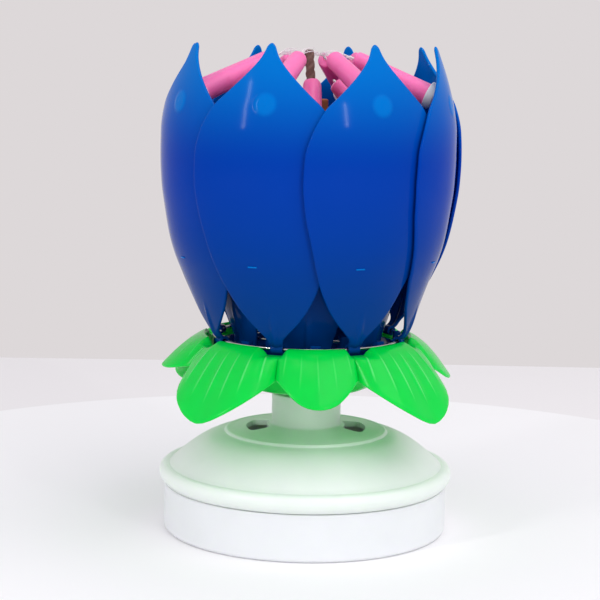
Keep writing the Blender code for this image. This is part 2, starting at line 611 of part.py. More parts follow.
def build_electronics():
    """The music board on its posts with its round sounder, and the motor."""
    board_level = FLOOR_THICKNESS + BOARD_POST_HEIGHT + SEAT_GAP
    bm = bmesh.new()
    middle = (*BOARD_PLACE, board_level + BOARD_THICKNESS / 2)
    add_box(bm, (BOARD_WIDTH, BOARD_DEPTH, BOARD_THICKNESS), middle)
    board = add_object("music_board", mesh_from(bm, "music_board"), BOARD_GREEN)
    low = board_level + BOARD_THICKNESS / 2
    high = board_level + BOARD_THICKNESS + BUZZER_HEIGHT
    buzzer = turned("board_buzzer", [
        (0, high - BUZZER_HEIGHT / 4), (BUZZER_HOLE_RADIUS, high - BUZZER_HEIGHT / 4),
        (BUZZER_HOLE_RADIUS, high), (BUZZER_RADIUS, high), (BUZZER_RADIUS, low), (0, low),
    ], None, 2 * SMALL_SEGMENTS)
    buzzer.location = (*BOARD_PLACE, 0)
    boolean(board, buzzer, "UNION")
    motor_low = FLOOR_THICKNESS + SEAT_GAP
    motor_high = motor_low + MOTOR_HEIGHT
    shaft_high = GEAR_LEVEL + GEAR_THICKNESS
    motor = turned("motor", [
        (0, shaft_high), (MOTOR_SHAFT_RADIUS, shaft_high), (MOTOR_SHAFT_RADIUS, motor_high),
        (MOTOR_RADIUS, motor_high), (MOTOR_RADIUS, motor_low), (0, motor_low),
    ], STEEL, 2 * SMALL_SEGMENTS)
    motor.location = MOTOR_PLACE


def gear_outline(teeth, phase):
    """Corner points of a spur gear's outline, with a tooth centred on the phase angle in degrees."""
    pitch_radius = GEAR_MODULE * teeth / 2
    tip = pitch_radius + GEAR_MODULE * TOOTH_ADDENDUM_SHARE
    root = pitch_radius - GEAR_MODULE * TOOTH_DEDENDUM_SHARE
    pitch = 2 * math.pi / teeth
    corners = ((-TOOTH_ROOT_SHARE, root), (-TOOTH_TIP_SHARE, tip),
               (TOOTH_TIP_SHARE, tip), (TOOTH_ROOT_SHARE, root))
    points = []
    for tooth in range(teeth):
        for share, radius in corners:
            angle = math.radians(phase) + (tooth + share) * pitch
            points.append(Vector((radius * math.cos(angle), radius * math.sin(angle), 0)))
    return points


def gear_mesh(name, teeth, thickness, phase, bore):
    """A spur gear lying on Z = 0, from a filled 2D curve with its bore as a second spline."""
    curve = bpy.data.curves.new(name, "CURVE")
    curve.dimensions = "2D"
    curve.fill_mode = "BOTH"
    curve.extrude = thickness / 2
    rim = [polar(bore, 360 * step / SMALL_SEGMENTS) for step in range(SMALL_SEGMENTS)]
    for points in (gear_outline(teeth, phase), rim):
        spline = curve.splines.new("POLY")
        spline.points.add(len(points) - 1)
        for point, place in zip(spline.points, points):
            point.co = (*place, 1)
        spline.use_cyclic_u = True
    holder = bpy.data.objects.new(name, curve)
    CUTTERS.objects.link(holder)
    mesh = evaluated_mesh(holder, name)
    bpy.data.objects.remove(holder, do_unlink=True)
    mesh.transform(Matrix.Translation((0, 0, thickness / 2)))
    weld(mesh)
    return mesh


def build_gears():
    """The spindle with its gear, and the motor's pinion in mesh with it."""
    gear = gear_mesh("spindle_gear", WHEEL_TEETH, GEAR_THICKNESS, -90, SPINDLE_RADIUS / 2)
    gear.transform(Matrix.Translation((0, 0, GEAR_LEVEL)))
    low = FLOOR_THICKNESS + SEAT_GAP
    spindle = turned("drive_spindle", [
        (0, SPINDLE_TOP), (SPINDLE_RADIUS, SPINDLE_TOP), (SPINDLE_RADIUS, FLANGE_LEVEL + FLANGE_THICKNESS),
        (FLANGE_RADIUS, FLANGE_LEVEL + FLANGE_THICKNESS), (FLANGE_RADIUS, FLANGE_LEVEL),
        (SPINDLE_RADIUS, FLANGE_LEVEL), (SPINDLE_RADIUS, low), (0, low),
    ], GEAR_WHITE, SMALL_SEGMENTS)
    boolean(spindle, add_object("spindle_gear", gear, None), "UNION")
    phase = 90 + 180 / PINION_TEETH
    pinion = add_object("motor_pinion", gear_mesh("motor_pinion", PINION_TEETH, GEAR_THICKNESS, phase,
                                                  MOTOR_SHAFT_RADIUS + RUNNING_GAP), GEAR_WHITE)
    pinion.location = MOTOR_PLACE + Vector((0, 0, GEAR_LEVEL))


def leaf_edges():
    """Azimuth of each grid line of the calyx, and how far out and down from the rim its edge lies there."""
    edges = []
    for quarter, droop in enumerate(SMALL_LEAF_DROOP_SHARES):
        middle = LEAF_AZIMUTH + quarter * LEAF_PITCH
        for leaf, azimuth, tip in ((SMALL_LEAF, middle, SMALL_LEAF.drop * droop),
                                   (LARGE_LEAF, middle + LEAF_PITCH / 2, LARGE_LEAF.drop)):
            for offset in np.linspace(-1, 1, leaf.steps + 1)[:-1]:
                out, down = [(1 - abs(offset) ** across) ** point
                             for across, point in (leaf.reach_form, leaf.drop_form)]
                edges.append((azimuth + leaf.half_angle * offset,
                              NOTCH_REACH + (leaf.reach - NOTCH_REACH) * out,
                              NOTCH_DROP + (tip - NOTCH_DROP) * down))
    return edges


def build_calyx():
    """One sheet from the cup's floor over the rim to the leaves' edges, with a notch for each stem."""
    lines = leaf_edges()
    rise = RIM_LEVEL - CUP_LEVEL
    flare = RIM_RADIUS - CUP_FLOOR_RADIUS
    cup = [(SPINDLE_BORE + CALYX_WALL, CUP_LEVEL), (CUP_FLOOR_RADIUS, CUP_LEVEL)]
    cup += [(CUP_FLOOR_RADIUS + flare * out, CUP_LEVEL + rise * up) for out, up in CUP_SHARES]
    bm = bmesh.new()
    bmesh.ops.create_grid(bm, x_segments=len(lines), y_segments=len(cup) + len(LEAF_SHARES) - 1, size=1)
    for vert in bm.verts:
        column = round((vert.co.x + 1) / 2 * len(lines)) % len(lines)
        row = round((vert.co.y + 1) / 2 * (len(cup) + len(LEAF_SHARES) - 1))
        azimuth, reach, drop = lines[column]
        if row < len(cup):
            radius, level = cup[row]
        else:
            out, down = LEAF_SHARES[row - len(cup)]
            radius = RIM_RADIUS + reach * out
            level = RIM_LEVEL - drop * down
        vert.co = facing(radius, azimuth, level)
    bmesh.ops.remove_doubles(bm, verts=bm.verts, dist=MERGE_DISTANCE)
    calyx = add_object("calyx", mesh_from(bm, "calyx"), GREEN)
    thicken = calyx.modifiers.new("wall", "SOLIDIFY")
    thicken.thickness = CALYX_WALL
    thicken.offset = 0
    notches = bmesh.new()
    for index in range(OUTER_COUNT):
        azimuth = OUTER_AZIMUTH + 360 * index / OUTER_COUNT
        add_box(notches, (STEM_NOTCH_WIDTH, 2 * STEM_NOTCH_REACH, 2 * STEM_NOTCH_DEPTH),
                facing(RIM_RADIUS, azimuth, RIM_LEVEL + CALYX_WALL / 2), math.radians(azimuth))
    boolean(calyx, add_object("stem_notches", mesh_from(notches, "stem_notches"), None), "DIFFERENCE")


def build_hub():
    """The tray in the cup: socket on the spindle, collar for the tube, and lugs for both hinge wires."""
    collar = TUBE_RADIUS + SEAT_GAP
    tray_top = HUB_FLOOR_LEVEL + HUB_WALL
    inner_wall = INNER_HINGE_RADIUS - LUG_THICKNESS / 2
    inner_top = INNER_HINGE_LEVEL - EYE_RADIUS - INNER_WALL_DROP
    flare_radius = CUP_FLOOR_RADIUS + HUB_WALL
    hub = turned("petal_hub", [
        (SPINDLE_BORE, tray_top), (collar, tray_top), (collar, tray_top + TUBE_COLLAR_HEIGHT),
        (collar + HUB_WALL, tray_top + TUBE_COLLAR_HEIGHT), (collar + HUB_WALL, tray_top),
        (inner_wall, tray_top), (inner_wall, inner_top), (inner_wall + LUG_THICKNESS, inner_top),
        (inner_wall + LUG_THICKNESS, tray_top), (HUB_RIM_RADIUS - HUB_WALL, HUB_RIM_LEVEL),
        (HUB_RIM_RADIUS, HUB_RIM_LEVEL), (flare_radius + HUB_WALL, HUB_FLOOR_LEVEL),
        (SPINDLE_BORE + HUB_SOCKET_WALL, HUB_FLOOR_LEVEL), (SPINDLE_BORE + HUB_SOCKET_WALL, SOCKET_LEVEL),
        (SPINDLE_BORE, SOCKET_LEVEL),
    ], GEAR_WHITE, HUB_SEGMENTS, closed=True)
    lugs = bmesh.new()
    for row in (OUTER, INNER):
        foot = HUB_RIM_LEVEL if row is OUTER else inner_top
        low = foot - LUG_ROOT
        setback = OUTER_LUG_SETBACK if row is OUTER else 0
        high = row.hinge_level + LUG_HEAD
        for index in range(row.count):
            azimuth = row.azimuth + 360 * (index + 0.5) / row.count
            add_box(lugs, (LUG_WIDTH, LUG_THICKNESS, high - low),
                    facing(row.hinge_radius - setback, azimuth, (high + low) / 2), math.radians(azimuth))
    boolean(hub, add_object("wire_lugs", mesh_from(lugs, "wire_lugs"), None), "UNION")
    for row in (OUTER, INNER):
        groove = ring(row.name + "_wire_groove", row.hinge_radius, WIRE_RADIUS + SEAT_GAP, row.hinge_level,
                      WIRE_SEGMENTS, WIRE_SIDES, None)
        boolean(hub, groove, "DIFFERENCE")
        ring(row.name + "_hinge_wire", row.hinge_radius, WIRE_RADIUS, row.hinge_level,
             WIRE_SEGMENTS, WIRE_SIDES, STEEL)


def petal_line(row, share):
    """Radius and level of the petal's middle line at a share of its height above the hinge."""
    heights, bulges = zip(*row.bulge_shares)
    radius = row.hinge_radius + (row.bulge_radius - row.hinge_radius) * np.interp(share, heights, bulges)
    return radius, row.hinge_level + (row.tip_level - row.hinge_level) * share


def petal_point(row, share, across):
    """A place on the petal's middle surface, from its hinge, at azimuth 0; across runs from -1 to 1."""
    heights, widths = zip(*row.width_shares)
    half_width = row.half_width * np.interp(share, heights, widths)
    radius, level = petal_line(row, share)
    angle = across * half_width / radius
    rib = RIB_HEIGHT * max(0, 1 - abs(across) * row.columns / 2) * max(0, 1 - share / RIB_END_SHARE)
    shift = row.edge_shift * min(1, max(0, share / SHIFT_FULL_SHARE))
    radius += rib - shift * angle * row.count / math.pi
    return Vector((radius * math.sin(angle), row.hinge_radius - radius * math.cos(angle),
                   level - row.hinge_level))


def boss_mesh(row):
    """A loft from a round pad on the petal's outer face to the tilted seat of the candle's cup."""
    base = petal_point(row, row.boss_share, 0)
    along = petal_point(row, row.boss_share + STEP_SHARE, 0)
    along -= petal_point(row, row.boss_share - STEP_SHARE, 0)
    along.normalize()
    outward = Vector((0, -along.z, along.y))
    candle = candle_direction(row)
    upward = Vector((0, -candle.z, candle.y))
    bm = bmesh.new()
    bmesh.ops.create_cone(bm, cap_ends=True, segments=BOSS_SEGMENTS, radius1=1, radius2=1, depth=2)
    for vert in bm.verts:
        across, up, end = vert.co
        if end < 0:
            vert.co = base + outward * (PETAL_WALL / 2 + BOSS_PAD)
            vert.co += BOSS_RADIUS * (Vector((across, 0, 0)) + along * up)
        else:
            vert.co = base + candle * row.boss_length + BOSS_RADIUS * (Vector((across, 0, 0)) + upward * up)
    return mesh_from(bm, row.name + "_boss")


def candle_direction(row):
    """Unit vector from the boss to the candle's tip on the petal at azimuth 0."""
    rise = math.radians(row.candle_rise)
    return Vector((0, math.cos(rise), math.sin(rise)))


def petal_mesh(row):
    """The petal at azimuth 0 about its hinge: a curved sheet, thickened, with its boss and its bored eye."""
    first = row.width_shares[0][0]
    bm = bmesh.new()
    bmesh.ops.create_grid(bm, x_segments=row.columns, y_segments=row.rows, size=1)
    for vert in bm.verts:
        run = (1 - math.cos(math.pi * (vert.co.y + 1) / 2)) / 2
        vert.co = petal_point(row, first + (1 - first) * run, vert.co.x)
    sheet = add_object(row.name + "_sheet", mesh_from(bm, row.name + "_sheet"), None)
    wall = sheet.modifiers.new("wall", "SOLIDIFY")
    wall.thickness = PETAL_WALL
    wall.offset = 0
    along = Matrix.Rotation(math.pi / 2, 4, "Y")
    boolean(sheet, add_object(row.name + "_boss", boss_mesh(row), None), "UNION")
    for name, radius, width, operation in (
            ("_eye", EYE_RADIUS, EYE_WIDTH, "UNION"),
            ("_eye_bore", EYE_BORE_RADIUS, EYE_WIDTH + 2 * CUT_OVERRUN, "DIFFERENCE")):
        rod = bmesh.new()
        bmesh.ops.create_cone(rod, cap_ends=True, segments=EYE_SEGMENTS, radius1=radius, radius2=radius,
                              depth=width, matrix=along)
        boolean(sheet, add_object(row.name + name, mesh_from(rod, row.name + name), None), operation)
    return evaluated_mesh(sheet, row.name + "_petal")


def build_petals(row):
    """The row's petals about their hinges, each carrying a cup and a candle."""
    petal = petal_mesh(row)
    cup_high = CUP_BASE + CUP_DEPTH
    cup = turned(row.name + "_cup", [
        (0, CUP_BASE), (CUP_RADIUS - CUP_WALL, CUP_BASE), (CUP_RADIUS - CUP_WALL, cup_high),
        (CUP_RADIUS, cup_high), (CUP_RADIUS - CUP_WALL, 0), (0, 0),
    ], None, CANDLE_SEGMENTS)
    wax_high = row.candle_length
    candle = turned(row.name + "_candle", [
        (0, wax_high + WICK_LENGTH), (WICK_RADIUS, wax_high + WICK_LENGTH), (WICK_RADIUS, wax_high),
        (CANDLE_TIP_RADIUS, wax_high - CANDLE_SHOULDER), (CANDLE_BASE_RADIUS, 0), (0, 0),
    ], None, CANDLE_SEGMENTS)
    cup_mesh = evaluated_mesh(cup, row.name + "_cup")
    candle_mesh = evaluated_mesh(candle, row.name + "_candle")
    seat = petal_point(row, row.boss_share, 0)
    tilt = math.radians(row.candle_rise - 90)
    for index in range(row.count):
        azimuth = row.azimuth + 360 * index / row.count
        made = add_object(f"{row.name}_petal_{index + 1}", petal, BLUE)
        made.location = facing(row.hinge_radius, azimuth, row.hinge_level)
        made.rotation_euler = (0, 0, math.radians(azimuth))
        for name, mesh, colour, rise in (
                ("cup", cup_mesh, CUP_WHITE, row.boss_length + SEAT_GAP),
                ("candle", candle_mesh, PINK, row.boss_length + CUP_BASE + 2 * SEAT_GAP)):
            piece = add_object(f"{row.name}_{name}_{index + 1}", mesh, colour)
            piece.parent = made
            piece.location = seat + candle_direction(row) * rise
            piece.rotation_euler = (tilt, 0, 0)


def build_fountain():
    """The paper tube that stands in the hub's collar, and the twisted fuse in its mouth."""
    bore_low = TUBE_TOP_LEVEL - TUBE_BORE_DEPTH
    turned("fountain_tube", [
        (0, bore_low), (TUBE_BORE_RADIUS, bore_low), (TUBE_BORE_RADIUS, TUBE_TOP_LEVEL),
        (TUBE_RADIUS, TUBE_TOP_LEVEL), (TUBE_RADIUS, TUBE_LEVEL), (0, TUBE_LEVEL),
    ], KRAFT, 2 * SMALL_SEGMENTS)
    low = bore_low + SEAT_GAP
    bm = bmesh.new()
    bmesh.ops.create_cone(bm, cap_ends=True, segments=FUSE_SIDES, radius1=1, radius2=1, depth=2)
    upright = [edge for edge in bm.edges if edge.verts[0].co.z != edge.verts[1].co.z]
    bmesh.ops.subdivide_edges(bm, edges=upright, cuts=FUSE_CUTS)
    for vert in bm.verts:
        up = (vert.co.z + 1) / 2
        turn = math.atan2(vert.co.y, vert.co.x)
        radius = FUSE_RADIUS * (1 - FUSE_TWIST_DEPTH_SHARE * (math.cos(2 * turn) + 1) / 2)
        angle = turn + 2 * math.pi * FUSE_TURNS * up
        lean = -FUSE_LEAN * max(0, up - FUSE_STRAIGHT_SHARE) / (1 - FUSE_STRAIGHT_SHARE)
        level = low + (FUSE_TOP_LEVEL - low) * up
        vert.co = (radius * math.cos(angle) + lean, radius * math.sin(angle), level)
    add_object("fuse", mesh_from(bm, "fuse"), PAPER)


build_bottom_housing()
build_battery_door()
build_top_cover()
build_screws()
build_battery()
build_electronics()
build_gears()
build_calyx()
build_hub()
for petal_row in (OUTER, INNER):
    build_petals(petal_row)
build_fountain()
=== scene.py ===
"""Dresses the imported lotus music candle: music base, leaf collar, petals, candles, wicks and fuse.

The origin is the middle of the base's underside, +Z is up and the front of the bud faces -Y.
An azimuth is counted in degrees from the front, positive towards +X.
"""

import math
from itertools import zip_longest
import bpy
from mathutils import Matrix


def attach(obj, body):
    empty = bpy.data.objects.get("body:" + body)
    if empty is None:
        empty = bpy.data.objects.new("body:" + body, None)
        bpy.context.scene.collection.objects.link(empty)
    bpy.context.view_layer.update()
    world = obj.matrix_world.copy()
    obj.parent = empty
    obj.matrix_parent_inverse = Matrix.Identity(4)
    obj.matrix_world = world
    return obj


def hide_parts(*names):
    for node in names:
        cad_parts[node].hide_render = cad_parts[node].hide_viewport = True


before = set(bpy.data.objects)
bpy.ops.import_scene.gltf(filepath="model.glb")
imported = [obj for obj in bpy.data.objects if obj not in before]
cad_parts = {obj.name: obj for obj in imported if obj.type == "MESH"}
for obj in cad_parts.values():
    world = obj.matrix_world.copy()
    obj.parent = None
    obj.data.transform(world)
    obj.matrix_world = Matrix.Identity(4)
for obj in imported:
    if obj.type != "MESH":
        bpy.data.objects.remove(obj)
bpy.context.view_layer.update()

from types import SimpleNamespace
from typing import NamedTuple

import bpy
import numpy as np
from bpy.props import FloatProperty, FloatVectorProperty, PointerProperty
from bpy.types import Operator, Panel, PropertyGroup
from mathutils import Matrix, Vector

bl_info = {
    "name": "Lotus Music Candle",
    "version": (1, 0, 0),
    "blender": (4, 5, 0),
    "location": "3D View > Sidebar > Lotus Candle",
    "description": "Builds a lotus bud of candle-bearing petals on a round music base",
    "category": "Add Mesh",
}

MM = 0.001

# Levels, radii and lengths that the pieces share
DISC_EDGE_LEVEL = 28.6 * MM
DISC_LEVEL = 30.9 * MM
DISC_RADIUS = 24.0 * MM
NECK_LEVEL = 40.4 * MM
HOUSING_RADIUS = 41.8 * MM
SCREW_RADIUS = 36.0 * MM
BAY_OFFSET = 22.0 * MM
SPINDLE_BORE = 2.3 * MM
RIM_LEVEL = 57.7 * MM
BOSS_RADIUS = 3.2 * MM
HIGHEST_THREAD = 141.8 * MM
SHARP_EDGE = 38.0


def linear(code):
    """A hex sRGB colour as linear red, green and blue."""
    parts = [int(code[i:i + 2], 16) / 255 for i in (1, 3, 5)]
    return tuple(c / 12.92 if c <= 0.04045 else ((c + 0.055) / 1.055) ** 2.4 for c in parts)


# Settings

COLOUR = {"subtype": "COLOR", "min": 0, "max": 1}


class MusicBaseSettings(PropertyGroup):
    """Sizes and colour of the music base."""
    wall: FloatProperty(
        name="Wall", description="Thickness of the dome's wall", default=1.6 * MM, unit="LENGTH")
    lip: FloatProperty(
        name="Disc Lip", description="Width of the lip round the raised disc",
        default=0.9 * MM, unit="LENGTH")
    # The dome's colour is white with a faint green tint, a painted reflection of the green leaves above it
    dome_colour: FloatVectorProperty(
        name="Dome", description="Colour of the dome's plastic", default=linear("#EAF3EC"), **COLOUR)
    drum_colour: FloatVectorProperty(
        name="Drum", description="Colour of the drum's plastic", default=linear("#ECF0F1"), **COLOUR)


class LeafCollarSettings(PropertyGroup):
    """Sizes and colour of the leaf collar."""
    wall: FloatProperty(
        name="Wall", description="Thickness of the sheet", default=1.0 * MM, unit="LENGTH")
    vein: FloatProperty(
        name="Vein Height", description="How far a vein stands out of a leaf",
        default=0.2 * MM, unit="LENGTH")
    colour: FloatVectorProperty(
        name="Plastic", description="Colour of the leaves", default=linear("#00D048"), **COLOUR)


class PetalSettings(PropertyGroup):
    """Sizes and colours of the petals."""
    wall: FloatProperty(
        name="Wall", description="Thickness of a petal", default=0.98 * MM, unit="LENGTH")
    rib: FloatProperty(
        name="Rib Height", description="How far the stem's rib stands out",
        default=0.6 * MM, unit="LENGTH")
    # The root colour is painted shade at the foot of a petal, and the tip colour is painted light at its
    # tips
    shaded_root_colour: FloatVectorProperty(
        name="Root", description="Colour at the foot of a petal", default=linear("#003A80"), **COLOUR)
    middle_colour: FloatVectorProperty(
        name="Middle", description="Colour half way up a petal", default=linear("#003AA4"), **COLOUR)
    lit_tip_colour: FloatVectorProperty(
        name="Tip", description="Colour at the tip of a petal", default=linear("#0070C8"), **COLOUR)


class CandleSettings(PropertyGroup):
    """Sizes and colours of the candles and their wicks."""
    thread: FloatProperty(
        name="Thread", description="Radius of one strand of a frayed wick",
        default=0.07 * MM, unit="LENGTH")
    wax_colour: FloatVectorProperty(
        name="Wax", description="Colour of the dyed wax", default=linear("#FF74B6"), **COLOUR)
    cup_colour: FloatVectorProperty(
        name="Cup", description="Colour of the candle cups", default=linear("#F2F4F5"), **COLOUR)


# Numbers to shapes


class Surface(NamedTuple):
    """Points, four- and three-sided faces, and a share per point, which materials read as an attribute."""
    points: np.ndarray
    quads: np.ndarray
    fans: np.ndarray
    share: np.ndarray


def outward(surface):
    """A closed surface, turned over where its signed volume, the sum of a . (b x c) / 6, is negative."""
    triangles = np.vstack((surface.quads[:, :3], surface.quads[:, [0, 2, 3]], surface.fans))
    a, b, c = surface.points[triangles].transpose(1, 0, 2)
    if np.einsum("ij,ij->", a, np.cross(b, c)) > 0:
        return surface
    return surface._replace(quads=surface.quads[:, ::-1], fans=surface.fans[:, ::-1])


def loft(rings, start=None, end=None, loop=False, share=0.0):
    """A closed skin over rings of points, an array of rows x columns x 3 whose columns wrap round.

    Fans close the first ring at start and the last at end, and loop joins the last ring to the first.
    """
    rows, columns = rings.shape[:2]
    points = rings.reshape(-1, 3)
    share = np.broadcast_to(share, (rows, columns)).ravel()
    index = np.arange(rows * columns).reshape(rows, columns)
    index = np.vstack((index, index[:1])) if loop else index
    index = np.hstack((index, index[:, :1]))
    quads = np.stack((index[:-1, :-1], index[:-1, 1:], index[1:, 1:], index[1:, :-1]), axis=-1)
    fans = np.empty((0, 3), int)
    for apex, edge in ((start, index[0, ::-1]), (end, index[-1])):
        if apex is not None:
            fan = np.stack((edge[:-1], edge[1:], np.full(columns, len(points))), axis=-1)
            fans = np.vstack((fans, fan))
            points = np.vstack((points, apex))
            share = np.append(share, share[edge[0]])
    return outward(Surface(points, quads.reshape(-1, 4), fans, share))


def once_round(steps):
    """Angles once round a circle, in radians."""
    return np.linspace(0, 2 * np.pi, steps, endpoint=False)


def lathe(profile, segments=144, loop=False):
    """A profile of radius r and height z turned about Z, (r cos t, r sin t, z).

    A looped profile closes on itself, and any other by fans on the axis.
    """
    profile = np.asarray(profile, float)
    ends = (None, None)
    if not loop:
        ends = [(0, 0, profile[row, 1]) for row in (0, -1)]
        profile = profile[profile[:, 0] > 0]
    turn, radius, height = once_round(segments), profile[:, :1], profile[:, 1:]
    rings = np.stack((radius * np.cos(turn), radius * np.sin(turn), height + 0 * turn), axis=-1)
    return loft(rings, *ends, loop=loop)


def sleeve(bore, radius, low, high, segments):
    """A round sleeve between two levels, in millimetres, or a solid post where the bore is 0."""
    section = np.array([(bore, low), (radius, low), (radius, high), (bore, high)]) * MM
    return lathe(section, segments, bore > 0)


def rounded(corners, radius, steps=5, closed=False):
    """A line of corners, each replaced by the curve (1-t)^2 a + 2t(1-t) c + t^2 b.

    a and b lie on the sides at the radius from the corner c, or at the middle of a shorter side.
    """
    corners = np.asarray(corners, float)
    middle = corners if closed else corners[1:-1]
    before = np.roll(corners, 1, axis=0) if closed else corners[:-2]
    after = np.roll(corners, -1, axis=0) if closed else corners[2:]
    radius = np.broadcast_to(radius, len(middle))[:, None]
    sides = []
    for other in (before, after):
        side = other - middle
        length = np.linalg.norm(side, axis=1, keepdims=True)
        sides.append(middle + side * np.minimum(radius / length, 0.5))
    t = np.linspace(0, 1, steps)[None, :, None]
    a, b, c = sides[0][:, None], sides[1][:, None], middle[:, None]
    curve = ((1 - t) ** 2 * a + 2 * t * (1 - t) * c + t ** 2 * b).reshape(-1, corners.shape[1])
    return curve if closed else np.vstack((corners[:1], curve, corners[-1:]))


def prism(outline, levels, middle):
    """An outline of x and y carried straight up between two levels, closed by fans about a middle."""
    rings = np.stack([np.column_stack((outline, np.full(len(outline), level))) for level in levels])
    return loft(rings, *[(*middle, level) for level in levels])


def box(size, centre, edge=0.2 * MM):
    """A box with rounded upright edges about a centre."""
    half = np.array(size) / 2
    outline = rounded(np.array([(-1, -1), (1, -1), (1, 1), (-1, 1)]) * half[:2], edge, steps=3, closed=True)
    return moved(prism(outline, (-half[2], half[2]), (0, 0)), 0, centre)


def smooth_table(table, at):
    """A monotone cubic through a table's points, whose slopes are harmonic means of their sides."""
    x, y = (np.array(column, float) for column in zip(*table))
    step = np.diff(x)
    slope = np.diff(y) / step
    same = slope[:-1] * slope[1:] > 0
    mean = np.where(same, 2 * slope[:-1] * slope[1:] / np.where(same, slope[:-1] + slope[1:], 1), 0)
    tangent = np.concatenate((slope[:1], mean, slope[-1:]))
    at = np.clip(at, x[0], x[-1])
    span = np.clip(np.searchsorted(x, at) - 1, 0, len(step) - 1)
    t = (at - x[span]) / step[span]
    value = (1 + 2 * t) * (1 - t) ** 2 * y[span] + t ** 2 * (3 - 2 * t) * y[span + 1]
    return value + step[span] * (t * (1 - t) ** 2 * tangent[span] - t ** 2 * (1 - t) * tangent[span + 1])


def smoothstep(value, low, high):
    """0 below low, 1 above high and 3t^2 - 2t^3 between."""
    t = np.clip((value - low) / (high - low), 0, 1)
    return t * t * (3 - 2 * t)


def unit(vectors):
    """Vectors brought to length 1."""
    return vectors / np.linalg.norm(vectors, axis=-1, keepdims=True)


def facing(radius, azimuth, level):
    """Points at a radius, an azimuth in degrees and a level."""
    angle = np.radians(azimuth)
    return np.stack(np.broadcast_arrays(radius * np.sin(angle), -radius * np.cos(angle), level), axis=-1)


def turned(points, azimuth):
    """Points turned about Z by an azimuth in degrees."""
    c, s = math.cos(math.radians(azimuth)), math.sin(math.radians(azimuth))
    return points @ np.array(((c, s, 0), (-s, c, 0), (0, 0, 1)))


def moved(surface, azimuth, offset=(0, 0, 0)):
    """A surface shifted by an offset and then turned about Z."""
    return surface._replace(points=turned(surface.points + np.array(offset), azimuth))


def leaned(surface, direction, foot):
    """A surface about Z, leaned so that +Z points in the direction, with its origin on the foot."""
    up = Vector(direction).normalized()
    turn = np.array(up.to_track_quat("Z", "Y").to_matrix())
    return surface._replace(points=surface.points @ turn.T + np.array(foot))


def tube(path, radius, sides, twist=0.0, lobes=0.0, taper=0.0):
    """A tube of points p + r (cos a u + sin a v) round a path p with a frame u, v square to it.

    r swells by the lobes' share with cos 2a, the section twists by so many turns, and both ends are domed.
    """
    end_size, end_reach = 0.6, 0.3
    askew = (0.13, 0.29, 0.95)
    along = unit(np.gradient(path, axis=0))
    side = unit(np.cross(along, askew))
    other = np.cross(along, side)
    share = np.linspace(0, 1, len(path))[:, None]
    angle = once_round(sides)[None]
    size = radius * (1 + lobes * (np.cos(2 * angle) - 1) / 2) * (1 - taper * share)
    size = size * np.where((share == 0) | (share == 1), end_size, 1)
    angle = (angle + 2 * np.pi * twist * share)[..., None]
    around = np.cos(angle) * side[:, None] + np.sin(angle) * other[:, None]
    rings = path[:, None] + size[..., None] * around
    return loft(rings, path[0] - along[0] * radius * end_reach, path[-1] + along[-1] * radius * end_reach)


# Shapes to pieces


def joined_mesh(name, surfaces):
    """One mesh of closed surfaces, with their shares as a point attribute."""
    start = np.cumsum([0] + [len(surface.points) for surface in surfaces[:-1]])
    faces = [face for surface, first in zip(surfaces, start)
             for part in (surface.quads, surface.fans) for face in (part + first).tolist()]
    mesh = bpy.data.meshes.new(name)
    mesh.from_pydata(np.vstack([surface.points for surface in surfaces]).tolist(), [], faces)
    share = np.concatenate([surface.share for surface in surfaces]).astype(np.float32)
    mesh.attributes.new("share", "FLOAT", "POINT").data.foreach_set("value", share)
    return mesh


def link_object(name, data):
    """An object at the origin, linked to the scene."""
    made = bpy.data.objects.new(name, data)
    bpy.context.scene.collection.objects.link(made)
    return made


def shade(mesh, sharp):
    """Shade a mesh smooth, except across edges sharper than an angle in degrees."""
    mesh.shade_smooth()
    mesh.set_sharp_from_angle(angle=math.radians(sharp))


def add_piece(name, surfaces, material, body, nodes=(), sharp=SHARP_EDGE):
    """Make one smooth piece of closed surfaces that rides on a body and stands for CAD nodes."""
    mesh = joined_mesh(name, surfaces)
    mesh.materials.append(material)
    shade(mesh, sharp)
    piece = link_object(name, mesh)
    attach(piece, body)
    if nodes:
        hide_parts(*nodes)
    return piece


def cut(piece, surfaces):
    """Cut closed surfaces out of a piece and keep the result as its mesh."""
    cutter = link_object("cutter", joined_mesh("cutter", surfaces))
    modifier = piece.modifiers.new("cut", "BOOLEAN")
    modifier.operation = "DIFFERENCE"
    modifier.solver = "EXACT"
    modifier.object = cutter
    graph = bpy.context.evaluated_depsgraph_get()
    made = bpy.data.meshes.new_from_object(piece.evaluated_get(graph))
    piece.modifiers.clear()
    piece.data = made
    shade(made, SHARP_EDGE)
    bpy.data.objects.remove(cutter, do_unlink=True)


# Materials


def add_node(tree, kind, settings=None, inputs=None):
    """Add a node, set its settings, and fill or link its inputs."""
    node = tree.nodes.new(kind)
    for key, value in (settings or {}).items():
        setattr(node, key, value)
    for key, value in (inputs or {}).items():
        if isinstance(value, bpy.types.NodeSocket):
            tree.links.new(value, node.inputs[key])
        else:
            node.inputs[key].default_value = value
    return node


